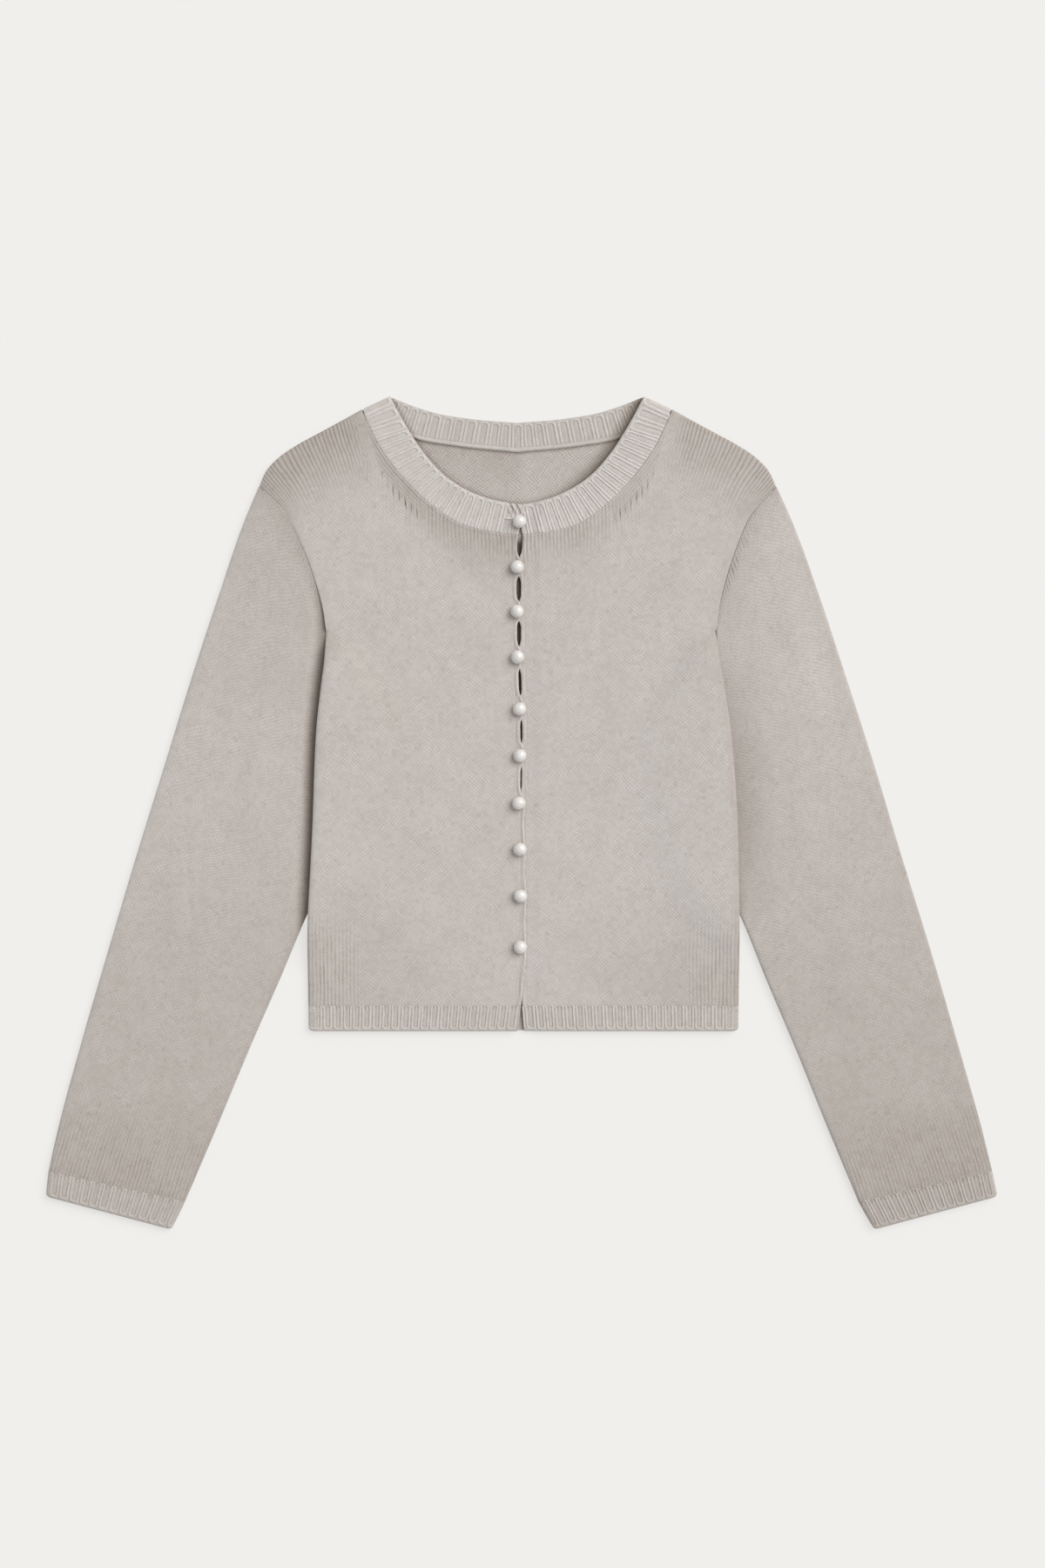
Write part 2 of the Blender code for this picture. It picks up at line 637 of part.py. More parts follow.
def half_band(side):
    """Outer and inner skins of half the neckband, from the front edge to the middle back."""

    def front_middle(y):
        return edge_half(side, y)

    front_shares, front_crests = rib_stations(FRONT_RIBS)
    front_shares = between(1.0, FRONT_TURN, front_shares)
    neckline = panel_neckline(FRONT, side, front_middle)
    shift = edge_half(side, FRONT_BAND[-1].free_y)
    shift = shift * np.clip(1 - (1 - front_shares) / EDGE_REACH, 0, 1) ** 2
    front = band_rows(FRONT_BAND, neckline, FRONT.neck_steps, front_shares, shift)
    back_shares, back_crests = rib_stations(BACK_RIBS)
    back_shares = between(BACK_TURN, 1.0, back_shares)
    neckline = panel_neckline(BACK, side, np.zeros_like)
    back = band_rows(BACK_BAND, neckline, BACK.neck_steps, back_shares, 0.0)
    turn, turn_z, facing = band_fold(np.radians(BAND_TURNS), front[-1], back[0])

    plan = np.concatenate([front, turn, back])
    rows = len(plan)
    ahead, behind = np.ones(len(front)), np.ones(len(back))
    height = np.concatenate([ahead * (DEPTH - WALL / 2), turn_z, behind * WALL / 2])
    out = np.concatenate([0 * ahead, facing[:, 0], 0 * behind])
    up = np.concatenate([ahead, facing[:, 1], -behind])
    wall = np.ones((rows, 3)) * WALL / 2
    wall[:, 2] *= RIM_SHARE
    crest_front = np.concatenate([front_crests, np.zeros(rows - len(front))])
    crest_back = np.concatenate([np.zeros(rows - len(back)), back_crests])
    crest_front[: (front_shares > PLAIN_END).sum()] = 0
    skins = []
    for sign, crest in ((1, crest_front), (-1, crest_back)):
        relief = RIB_HEIGHT * crest[:, None] * np.array([1, 1, 0])
        moved = plan - sign * (out[:, None] * wall)[..., None] * INWARD
        z = height[:, None] + sign * up[:, None] * (wall + relief)
        skin = place(side, moved, z)
        on_front = np.arange(rows)[:, None] < len(front)
        skin[..., 2] -= dip(side, skin[..., 0]) * on_front
        skins.append(skin)
    return skins


def neckband():
    right, left = half_band(RIGHT), half_band(LEFT)
    skins = [np.concatenate([right[skin], left[skin][::-1][1:]]) for skin in (0, 1)]
    return shell("neckband", skins[0], skins[1], RIBBING)


def cut_holes(piece, buttons, foot):
    """Cuts a long round-ended hole for each button through a piece, from the height foot up."""
    cutter_mesh = bpy.data.meshes.new(piece.name + "_holes")
    work = bmesh.new()
    for button in buttons:
        made = bmesh.ops.create_cone(
            work,
            cap_ends=True,
            segments=ROUND_STEPS,
            radius1=0.5,
            radius2=0.5,
            depth=1.0,
        )
        size = np.array([HOLE_LENGTH, HOLE_WIDTH, 2 * DEPTH]) * MM
        at = (np.array([button.x - HOLE_SHIFT, button.y, foot + DEPTH]) - ORIGIN) * MM
        bmesh.ops.scale(work, vec=size, verts=made["verts"])
        bmesh.ops.translate(work, vec=at, verts=made["verts"])
    work.to_mesh(cutter_mesh)
    work.free()
    cutter = bpy.data.objects.new(cutter_mesh.name, cutter_mesh)
    CUTTERS.objects.link(cutter)
    cutter.hide_render = True
    cutter.display_type = "WIRE"
    cut = piece.modifiers.new("Buttonholes", "BOOLEAN")
    cut.operation = "DIFFERENCE"
    cut.solver = "EXACT"
    cut.object = cutter


def button_mesh():
    """Half the outline of a pearl on its shank, from the top of the pearl down."""
    foot = DEPTH + PEARL_STAND
    belly = foot + PEARL_HEIGHT * BELLY_SHARE
    top = foot + PEARL_HEIGHT
    shank_foot = DEPTH - DIP + SEAM
    outline = [(0.0, top)]
    for angle in np.radians(PEARL_ANGLES):
        reach = top - belly if angle > 0 else belly - foot
        outline.append((PEARL_RADIUS * np.cos(angle), belly + reach * np.sin(angle)))
    outline += [(SHANK_RADIUS, foot), (SHANK_RADIUS, shank_foot), (0.0, shank_foot)]
    points = [(radius * MM, 0.0, z * MM) for radius, z in outline]
    mesh = bpy.data.meshes.new("pearl_outline")
    mesh.from_pydata(points, [(i, i + 1) for i in range(len(points) - 1)], [])
    mesh.materials.append(SHELL_PEARL)
    return mesh


def add_buttons():
    mesh = button_mesh()
    for number, row in enumerate(BUTTONS, 1):
        made = bpy.data.objects.new(f"button_{number:02d}", mesh)
        made.location = (np.array([row.x, row.y, 0.0]) - ORIGIN) * MM
        GARMENT.objects.link(made)
        turn = made.modifiers.new("Turned", "SCREW")
        turn.steps = ROUND_STEPS
        turn.render_steps = ROUND_STEPS
        turn.use_merge_vertices = True
        turn.merge_threshold = 0.0001
        turn.use_smooth_shade = True


clear_scene()
GARMENT = collection("cardigan")
CUTTERS = collection("cutters")
WOOL = material("wool_knit", KNIT, 0.95)
RIBBING = material("wool_rib", KNIT, 0.95)
SHELL_PEARL = material("pearl", PEARL, 0.25)

body_back()
hem_back()
right_front = body_front("front_right", RIGHT)
cut_holes(right_front, BUTTONS[1:], DEPTH - DIP + HOLE_FOOT)
body_front("front_left", LEFT)
hem_front("hem_right", RIGHT)
hem_front("hem_left", LEFT)
sleeve("sleeve_right", RIGHT)
sleeve("sleeve_left", LEFT)
cuff("cuff_right", RIGHT)
cuff("cuff_left", LEFT)
band = neckband()
cut_holes(band, BUTTONS[:1], DEPTH - DIP + HOLE_FOOT)
add_buttons()
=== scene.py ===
# %% [markdown]
# # A knitted cardigan, buttoned up and laid flat
#
# The cardigan lies on its back on a pale surface, and we look straight down on it. A maker
# knits it as a back, two fronts and two sleeves, links ribbed bands to the neck, the hem and the
# cuffs, and sews on ten pearl buttons. We first load the solids that fix every size and place.
# Each piece of cloth made below lies on its own solid and takes its place in the picture.

# %% Load the frame
from collections import namedtuple
from functools import partial

import bpy
import numpy as np
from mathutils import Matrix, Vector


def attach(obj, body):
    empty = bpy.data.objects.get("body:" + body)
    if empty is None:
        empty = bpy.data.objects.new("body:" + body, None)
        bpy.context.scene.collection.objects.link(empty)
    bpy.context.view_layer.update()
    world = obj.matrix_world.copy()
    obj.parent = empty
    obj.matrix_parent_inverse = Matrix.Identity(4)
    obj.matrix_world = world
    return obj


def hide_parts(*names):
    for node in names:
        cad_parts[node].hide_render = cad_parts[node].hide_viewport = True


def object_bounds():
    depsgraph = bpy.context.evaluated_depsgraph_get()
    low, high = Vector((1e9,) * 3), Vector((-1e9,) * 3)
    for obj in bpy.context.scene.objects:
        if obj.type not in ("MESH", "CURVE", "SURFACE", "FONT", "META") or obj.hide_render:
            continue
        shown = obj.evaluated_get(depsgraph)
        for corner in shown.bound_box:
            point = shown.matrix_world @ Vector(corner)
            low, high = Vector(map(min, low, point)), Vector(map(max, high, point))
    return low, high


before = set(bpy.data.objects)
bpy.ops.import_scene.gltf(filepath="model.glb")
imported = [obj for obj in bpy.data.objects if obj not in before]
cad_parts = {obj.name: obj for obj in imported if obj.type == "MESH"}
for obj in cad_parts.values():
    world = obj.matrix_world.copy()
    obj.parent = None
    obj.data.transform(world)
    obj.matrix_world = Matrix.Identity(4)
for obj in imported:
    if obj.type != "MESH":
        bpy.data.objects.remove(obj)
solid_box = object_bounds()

box_sides = [round(float(high - low), 3) for low, high in zip(*solid_box)]
print(len(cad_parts), "solids in a box of", box_sides)

# %% [markdown]
# ## The cardigan's own sizes
#
# A flat-laid garment is easiest to describe by its outline: how far each edge is from the middle
# at a few heights. Everything is in millimetres here, because that is how knitters and cutters
# think, and one factor turns it into metres when a mesh is made. X runs to the wearer's left,
# Y up the body and Z up from the surface.

# %% Sizes of the cloth
MM = 0.001
MIDDLE_SHIFT = np.array([0.25, 0.0, 0.0])  # the middle of the whole outline
RIGHT, LEFT = -1, 1  # the wearer's sides, as the sign of X
WALL = 2.0  # thickness of the knit
DEPTH = 7.2  # both layers and the air between them
FOLD = 6.0  # how far in from a folded edge the layers reach that depth
SEAM = 0.3  # gap between two linked pieces
HEM_END, HEM_SEAM, UNDERARM = -185.7, -164.3, 153.5


def table(columns, *rows):
    """Rows of numbers with a name for each column."""
    kind = namedtuple("Row", columns)
    return tuple(kind(*row) for row in rows)


BODY_SIDE = table(
    "y half",
    (-185.7, 182.8), (-94.0, 183.3), (-55.5, 182.0), (-3.7, 180.2),
    (40.0, 178.1), (75.5, 175.4), (106.6, 171.3), (134.7, 167.3),
    (153.5, 166.3),
)
CENTRE = table(
    "y x",
    (-185.7, 1.9), (-94.0, 2.0), (-3.7, 3.3), (75.5, 1.9),
    (153.5, 0.2), (225.7, -1.4), (277.5, -3.0), (354.5, -3.7),
)
ARMHOLE = table(
    "share half y",
    (0.0, 166.3, 153.5), (0.133, 168.6, 171.7), (0.333, 175.4, 198.7),
    (0.54, 184.7, 225.7), (0.784, 199.4, 256.0), (1.0, 220.2, 277.5),
)
SHOULDER = table(
    "share half y",
    (0.0, 220.2, 277.5), (0.122, 214.5, 290.0), (0.254, 204.5, 301.0),
    (0.433, 188.0, 312.4), (0.631, 168.5, 323.0), (0.818, 150.0, 333.0),
    (1.0, 132.1, 343.0),
)
FRONT_BAND = table(
    "share seam_half seam_y free_half free_y",
    (0.0, 132.1, 343.0, 108.2, 354.1), (0.2, 116.6, 310.1, 93.7, 327.7),
    (0.375, 97.7, 284.9, 79.4, 305.8), (0.56, 74.0, 261.6, 60.6, 285.5),
    (0.7, 52.5, 246.8, 43.0, 274.1), (0.855, 25.9, 239.0, 21.4, 265.5),
    (1.0, 0.0, 236.1, 0.0, 261.6),
)
BACK_BAND = table(
    "share seam_half seam_y free_half free_y",
    (0.0, 132.1, 343.0, 108.2, 354.1), (0.183, 111.0, 328.6, 89.2, 346.5),
    (0.362, 88.1, 318.6, 70.3, 340.5), (0.627, 51.8, 312.0, 41.3, 335.5),
    (1.0, 0.0, 306.7, 0.0, 331.8),
)
SLEEVE_OUTER = table(
    "y half centre",
    (-304.9, 401.5, -0.7), (-268.6, 392.9, -1.1), (-197.6, 373.3, -1.5),
    (-108.8, 347.4, -1.5), (-34.8, 324.9, -1.9), (39.2, 302.3, -1.5),
    (113.2, 279.0, -1.9), (187.2, 254.6, -1.9), (249.4, 232.4, -2.6),
    (277.5, 220.2, -3.0),
)
SLEEVE_INNER = table(
    "y half centre",
    (-330.8, 286.4, 0.4), (-268.6, 260.1, 0.7), (-197.6, 230.9, 1.1),
    (-138.4, 205.4, 1.5), (-94.0, 187.2, 1.9), (-42.0, 163.5, 1.9),
    (12.0, 151.5, 1.8), (55.0, 148.8, 1.5), (96.0, 155.0, 1.0),
    (125.0, 163.4, 0.5), (136.0, 165.3, 0.5), (142.0, 165.5, 0.4),
    (148.0, 165.5, 0.3), (153.5, 165.7, 0.2),
)
CUFF_OUTER_END, CUFF_INNER_END = table("y half centre", (-326.0, 404.8, 0.4), (-354.4, 298.0, 1.4))
BUTTONS = table(
    "x y gap",
    (-1.5, 247.2, 4.4), (-3.3, 208.7, 3.7), (-3.3, 170.9, 3.3),
    (-3.1, 132.1, 2.2), (-1.4, 88.1, 1.5), (-0.9, 48.5, 1.1),
    (-2.0, 8.1, -6.0), (-1.0, -31.1, -6.0), (-0.5, -70.6, -6.0),
    (-0.7, -114.0, -3.0),
)
print(len(BODY_SIDE), "side rows,", len(SLEEVE_INNER), "sleeve rows,", len(BUTTONS), "buttons")

# %% [markdown]
# ## Reading smooth curves from short tables
#
# Cloth edges have no corners, so a table is read along a cubic curve that passes through each row
# with the slope of that row's neighbours. A fold seen from its end is a quarter circle, which the
# function dome gives, and ease is the S-shaped step that blends one thing into another.

# %% Curves
def smooth(line, column, at):
    """Cubic between rows: value + rise t t (3 - 2t) + step t (1 - t) (slope0 (1 - t) - slope1 t)."""
    rows = np.array(line, float)
    knots, values = rows[:, 0], rows[:, column]
    slopes = np.gradient(values, knots)
    row = np.clip(np.searchsorted(knots, at) - 1, 0, len(knots) - 2)
    step = knots[row + 1] - knots[row]
    t = np.clip((at - knots[row]) / step, 0, 1)
    bend = (1 - t) * slopes[row] - t * slopes[row + 1]
    rise = values[row + 1] - values[row]
    return values[row] + rise * t * t * (3 - 2 * t) + step * t * (1 - t) * bend


def ease(share):
    """share squared times (3 - 2 share): 0 to 1 with level ends."""
    share = np.clip(share, 0, 1)
    return share * share * (3 - 2 * share)


def rest(share):
    """What is left of 1: from 1 down to 0 as share goes from 0 to 1."""
    return 1 - np.clip(share, 0, 1)


def dome(share):
    """Square root of 1 - (1 - share) squared: a quarter circle from 0 up to 1."""
    return np.sqrt(1 - rest(share) ** 2)


def faded(distance, reach):
    """1 at no distance, eased out to 0 at reach."""
    return ease(1 - distance / reach)


def hill(distance, width):
    """The bell curve e to the power of -(distance / width) squared."""
    return np.exp(-((distance / width) ** 2))


def between(start, end, share):
    """The value that is a share of the way from start to end."""
    return start + (end - start) * share


def centre(y):
    """Where the middle line of the body is at a height."""
    return smooth(CENTRE, 1, y)


def together(*parts):
    """The parts side by side along a new last axis, spread to the same rows and columns."""
    return np.stack(np.broadcast_arrays(*parts), -1)


def finer(knots, counts):
    """Steps between each pair of knots, as many as counts says, with the last knot at the end."""
    runs = [np.linspace(a, b, n, endpoint=False) for a, b, n in zip(knots[:-1], knots[1:], counts)]
    return np.append(np.concatenate(runs), knots[-1])


def fold_steps(reach, count):
    """reach times (1 - cosine): steps that crowd at a fold's edge, where the cloth turns most."""
    return reach * (1 - np.cos(np.linspace(0, np.pi / 2, count + 1)))


print("half width of the body at the chest:", round(float(smooth(BODY_SIDE, 1, 90.0)), 1), "mm")

# %% [markdown]
# ## How the layers lie on each other
#
# Three things move the cloth up or down. The body's side lies on the sleeve, so it is lifted by
# the sleeve's depth and comes down again in a long soft slope. The left front dips to slip under
# the right one. And the two edges at the opening wave: they overlap at each button and gape
# between buttons, because the cloth is a little wider than the body it was dried on.

# %% Lift, dip and the waving edges
LIFT, LIFT_RAMP, LIFT_CORNER, LIFT_WIDEN, LIFT_MARGIN = 7.8, 60.0, 18.0, 90.0, 10.0
LIFT_FULL_TOP, LIFT_FULL_FOOT, LIFT_FOOT = 133.0, -98.0, -150.0
OVERLAP, EDGE_LINE = 4.0, 1.2
SLIT = ((0.33, 0.8), (0.53, 1.0), (0.71, 0.8))  # how far a slit is open, at shares of the way up
NOTCH_TOP, NOTCH_FOOT = 0.55, 2.95  # half the slit between the hem bands
DIP, DIP_FULL, DIP_END = 2.4, 7.5, 18.5


def lift(half, y):
    """LIFT, eased out towards the underarm, the hem and the middle of the body."""
    up = ease((UNDERARM - y) / (UNDERARM - LIFT_FULL_TOP))
    down = ease((y - LIFT_FOOT) / (LIFT_FULL_FOOT - LIFT_FOOT))
    widen = ease((UNDERARM - y) / LIFT_WIDEN) * ease((y - LIFT_FOOT) / LIFT_WIDEN)
    ramp = between(LIFT_CORNER, LIFT_RAMP, widen)
    reach = smooth(SLEEVE_INNER, 1, y) - LIFT_MARGIN
    return LIFT * up * down * ease((half - reach + ramp) / ramp)


def opening_table():
    """Rows of (y, line of the edges, overlap), one at each button and three in each gap."""
    rows = [(HEM_END, -0.35, -NOTCH_FOOT), (HEM_SEAM, 0.15, -NOTCH_TOP)]
    for below, button in zip((None,) + BUTTONS[::-1][:-1], BUTTONS[::-1]):
        if below is not None:
            gapes = button.gap > 0
            for share, open_share in SLIT if gapes else ((0.5, 1.0),):
                y = between(below.y, button.y, share)
                line = between(below.x, button.x, share) + EDGE_LINE
                rows.append((y, line, -button.gap / 2 * open_share))
        rows.append((button.y, button.x + EDGE_LINE, OVERLAP))
    return tuple(rows)


OPENING = opening_table()


def edge_half(side, y):
    """Half width of a front's edge: the line of the edges less side times the overlap."""
    return side * (smooth(OPENING, 1, y) - side * smooth(OPENING, 2, y) - centre(y))


def dip(side, x):
    """DIP under the right front, eased out to the wearer's left."""
    return DIP * (1 - ease((x - DIP_FULL) / (DIP_END - DIP_FULL))) * (side == LEFT)


print("the edges gape", [button.gap for button in BUTTONS if button.gap > 0], "mm between buttons")

# %% [markdown]
# ## A wall of cloth from two grids of points
#
# A knitted piece has an outer and an inner skin. Both are grids with the same rows and columns, so
# one function can join them with narrow rims into a closed wall. It writes two UV maps, in
# stitches instead of pictures: knit counts plain stitches across and up, and fan follows the
# columns of stitches where the knit is stretched and they show as grooves. Six numbers at each
# point say how deep the wool's tone is, with the painted light and shade it holds, how far fanned
# and straight grooves show, where painted light brightens rib lines and rolled edges and darkens
# their hollows, where two columns were knitted into one, and where a fold presses the stitches flat.

# %% Mesh maker
POINT_VALUES = ("tone", "fan_share", "straight", "painted_light", "marks", "flat")
SHARP_BEND = 1.0  # a bend of more than this many radians stays sharp


def placed(name, data):
    """A new object in the scene."""
    thing = bpy.data.objects.new(name, data)
    bpy.context.scene.collection.objects.link(thing)
    return thing


def corner_list(rows, columns, ring):
    """Face corners as (row, column, skin): outer quads, inner quads turned round, then rims."""
    around = columns if ring else columns - 1
    row, column = np.meshgrid(np.arange(rows - 1), np.arange(around), indexing="ij")
    row, column = row.ravel(), column.ravel()
    square = ((0, 0), (0, 1), (1, 1), (1, 0))
    quad = np.stack([together(row + a, column + b, 0) for a, b in square], 1)
    faces = [quad, quad[:, ::-1] + np.array([0, 0, 1])]
    across, up = np.arange(around), np.arange(rows - 1)
    borders = [(0, across + 1, 0, across), (rows - 1, across, rows - 1, across + 1)]
    if not ring:
        borders += [(up, 0, up + 1, 0), (up + 1, columns - 1, up, columns - 1)]
    for row_a, column_a, row_b, column_b in borders:
        ends = ((row_a, column_a, 0), (row_b, column_b, 0), (row_b, column_b, 1), (row_a, column_a, 1))
        faces.append(np.stack([together(*end) for end in ends], 1))
    return np.concatenate(faces), len(quad)


def wall(name, outer, inner, looks, knit, fan, points, ring=False):
    """A closed wall; its volume, a sixth of the triple products, says which way it faces."""
    rows, columns = outer.shape[:2]
    corners, quads = corner_list(rows, columns, ring)
    row, column, skin = np.moveaxis(corners, -1, 0)
    vertex = skin * rows * columns + row * columns + column % columns
    places = (np.vstack([outer.reshape(-1, 3), inner.reshape(-1, 3)]) - MIDDLE_SHIFT) * MM
    a, b, c, d = (places[vertex[:, corner]] for corner in range(4))
    volume = (np.cross(a, b) * c).sum() + (np.cross(a, c) * d).sum()
    if volume < 0:
        vertex, corners = vertex[:, ::-1], corners[:, ::-1]
    mesh = bpy.data.meshes.new(name)
    mesh.from_pydata(places, [], vertex.tolist())
    for title, counts in (("knit", knit), ("fan", fan)):
        layer = mesh.uv_layers.new(name=title)
        layer.uv.foreach_set("vector", counts[corners[..., 0], corners[..., 1]].ravel())
    for title in POINT_VALUES:
        skins = points.get(title, (0.0, 0.0))
        both = np.concatenate([np.broadcast_to(value, (rows, columns)).ravel() for value in skins])
        mesh.attributes.new(title, "FLOAT", "POINT").data.foreach_set("value", both)
    inside = np.zeros(len(vertex), int)
    inside[quads : 2 * quads] = len(looks) - 1
    for look in looks:
        mesh.materials.append(look)
    mesh.polygons.foreach_set("material_index", inside)
    mesh.shade_smooth()
    mesh.set_sharp_from_angle(angle=SHARP_BEND)
    print(name, "has", 2 * len(vertex), "triangles")
    return placed(name, mesh)


def dress(piece, node):
    """Rides on the cardigan's one body and takes its solid's place."""
    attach(piece, "root")
    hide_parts(node)


# %% The surface it lies on
FLOOR_HALF = 4  # metres
floor_mesh = bpy.data.meshes.new("floor")
floor_corners = [(x * FLOOR_HALF, y * FLOOR_HALF, 0) for x, y in ((-1, -1), (1, -1), (1, 1), (-1, 1))]
floor_mesh.from_pydata(floor_corners, [], [(0, 1, 2, 3)])
floor = placed("floor", floor_mesh)

# %% [markdown]
# ## What wool does to light
#
# A loop of plain knit is a small V on the right side and a little arc on the wrong side. In this
# fine, washed wool both soften to staggered dots, and only a trace of the V is left. The loops are
# bump, not shapes, because there are some forty thousand of them. One node group works out the
# height of a loop from the stitch counts in a UV map, as a share of dots and a share of V shapes,
# and a second one the grooves between columns where the knit is stretched. Both are used in every
# wool finish with their own values. A soft sheen and high roughness make it matt and a bit hairy.

# %% Node helpers
def wired(tree, node, values):
    """Gives numbers or links to a node's inputs in turn, and returns its first output."""
    for socket, value in zip(node.inputs, values):
        if isinstance(value, bpy.types.NodeSocket):
            tree.links.new(value, socket)
        else:
            socket.default_value = value
    return node.outputs[0]


def maths(tree, kind, *values, clamp=False):
    """One Math node on numbers or sockets."""
    node = tree.nodes.new("ShaderNodeMath")
    node.operation, node.use_clamp = kind, clamp
    return wired(tree, node, values)


def vectors(tree, kind, *values):
    """One Vector Math node on vectors or sockets."""
    node = tree.nodes.new("ShaderNodeVectorMath")
    node.operation = kind
    return wired(tree, node, values)


def x_and_y(tree, vector):
    """The first two parts of a vector."""
    node = tree.nodes.new("ShaderNodeSeparateXYZ")
    tree.links.new(vector, node.inputs[0])
    return node.outputs[0], node.outputs[1]


def group(name, inputs, outputs):
    """A new shader node group with its named sockets, and its two end nodes."""
    tree = bpy.data.node_groups.new(name, "ShaderNodeTree")
    for title, kind, value in inputs:
        socket = tree.interface.new_socket(name=title, in_out="INPUT", socket_type=kind)
        if value is not None:
            socket.default_value = value
    for title, kind in outputs:
        tree.interface.new_socket(name=title, in_out="OUTPUT", socket_type=kind)
    return tree, tree.nodes.new("NodeGroupInput"), tree.nodes.new("NodeGroupOutput")


def new_look(name):
    """A new material with nodes."""
    made = bpy.data.materials.new(name)
    made.use_nodes = True
    return made


def settle(shader, **values):
    """Sets a shader's own sockets; an underscore stands for the space in a socket's name."""
    for title, value in values.items():
        shader.inputs[title.replace("_", " ")].default_value = value


def noise(tree, vector, scale, detail=2.0):
    """One Noise node whose spots are about 1 / scale wide."""
    node = tree.nodes.new("ShaderNodeTexNoise")
    node.inputs["Scale"].default_value, node.inputs["Detail"].default_value = scale, detail
    tree.links.new(vector, node.inputs["Vector"])
    return node


# %% The stitch group
FLOAT, VECTOR = "NodeSocketFloat", "NodeSocketVector"
TURN = 2 * np.pi
LEG_SLANT = 1.0  # how steeply the two legs of a V run, in rows for each column
ROW_SUNK = 0.6  # how much the middle of each leg sinks, so that the ends stand out like knobs
stitches, start, end = group(
    "Plain knit stitches",
    [("Stitches", VECTOR, None), ("Purl", FLOAT, 0.0), ("Wander", FLOAT, 1.35), ("Bend", FLOAT, 4.0)],
    [("Height", FLOAT), ("Yarn shade", FLOAT)],
)
work = partial(maths, stitches)
drifted = start.outputs["Stitches"]
for size, title in ((0.42, "Wander"), (0.055, "Bend")):
    loose = noise(stitches, start.outputs["Stitches"], size).outputs["Color"]
    moved = vectors(stitches, "SUBTRACT", loose, (0.5, 0.5, 0.5))
    drifted = vectors(stitches, "MULTIPLY_ADD", moved, start.outputs[title], drifted)
across, up = x_and_y(stitches, drifted)
away = work("ABSOLUTE", work("SUBTRACT", work("FRACT", across), 0.5))
off_leg = work("MULTIPLY", work("SUBTRACT", away, 0.25), 4.0)
round_leg = work("SUBTRACT", 1.0, work("MULTIPLY", off_leg, off_leg), clamp=True)
slant = work("MULTIPLY_ADD", away, LEG_SLANT, up)
chevron = work("COSINE", work("MULTIPLY", slant, TURN))
in_row = work("COSINE", work("MULTIPLY", work("ADD", up, 0.25), TURN))
knob = work("SUBTRACT", chevron, work("MULTIPLY", in_row, ROW_SUNK))
leg = work("MULTIPLY_ADD", work("SQRT", round_leg), 0.2, 0.8)
plain = work("MULTIPLY", leg, work("MULTIPLY_ADD", knob, 0.45, 0.5))
wide, tall = (work("COSINE", work("MULTIPLY", count, TURN)) for count in (across, up))
purl = work("MULTIPLY_ADD", work("MULTIPLY", wide, tall), 0.5, 0.5)
side_used = stitches.nodes.new("ShaderNodeMix")
for socket, source in ((0, start.outputs["Purl"]), (2, plain), (3, purl)):
    stitches.links.new(source, side_used.inputs[socket])
stitches.links.new(side_used.outputs[0], end.inputs["Height"])
corner = stitches.nodes.new("ShaderNodeCombineXYZ")
cell = wired(stitches, corner, (work("FLOOR", across), work("FLOOR", slant)))
chance = stitches.nodes.new("ShaderNodeTexWhiteNoise")
chance.noise_dimensions = "2D"
stitches.links.new(cell, chance.inputs["Vector"])
stitches.links.new(chance.outputs["Value"], end.inputs["Yarn shade"])
print("stitch group:", len(stitches.nodes), "nodes")

# %% The groove group
grooves, start, end = group(
    "Column grooves",
    [("Columns", VECTOR, None), ("Stitches", VECTOR, None)],
    [("Fanned", FLOAT), ("Straight", FLOAT), ("Dashes", FLOAT)],
)
GROOVE_KINDS = table(
    "title counts period sharp chance_range",
    ("Fanned", "Columns", 1.0, 2.2, 1.2), ("Straight", "Stitches", 1.0, 2.2, 3.2),
    ("Dashes", "Stitches", 1.5, 9.0, 3.2),
)
LEAST_DEPTH = 0.15  # no groove is shallower than this
work = partial(maths, grooves)
for kind in GROOVE_KINDS:
    counts = start.outputs[kind.counts]
    bend = noise(grooves, counts, 0.16).outputs["Fac"]
    place = work("ADD", work("MULTIPLY", work("SUBTRACT", bend, 0.5), 0.7), x_and_y(grooves, counts)[0])
    wave = work("COSINE", work("MULTIPLY", place, TURN / kind.period))
    groove = work("POWER", work("MULTIPLY_ADD", wave, 0.5, 0.5), kind.sharp)
    stretched = vectors(grooves, "MULTIPLY", counts, (1.0, 0.22, 1.0))
    luck = noise(grooves, stretched, 0.5).outputs["Fac"]
    deep = work("MULTIPLY_ADD", work("SUBTRACT", luck, 0.5), kind.chance_range, 1.0)
    cut = work("MULTIPLY", groove, work("MAXIMUM", deep, LEAST_DEPTH))
    grooves.links.new(cut, end.inputs[kind.title])
print("groove group:", len(grooves.nodes), "nodes")

# %% [markdown]
# ## The wool finishes
#
# The yarn is a warm light grey. Its colour comes from the point values: tone darkens it a little
# towards the cuffs as painted shade and holds the other painted light and shade, and painted light
# brightens the rib lines. Painted shade from the stitch height darkens the gaps between loops, and
# the grooves between columns and the dashes of the marks are painted darker with lighter crests
# beside them. Every stitch differs slightly from its neighbours. Between the yarns the light
# bounces from wool to wool and turns browner, so red falls a little slower than blue as the shade
# deepens. The body and the ribbing share the recipe.

# %% Wool
WOOL_COLOUR = (0.556, 0.518, 0.488)
WARM_SHADE = (0.90, 1.0, 1.10)  # how fast red, green and blue fall where the wool is shaded


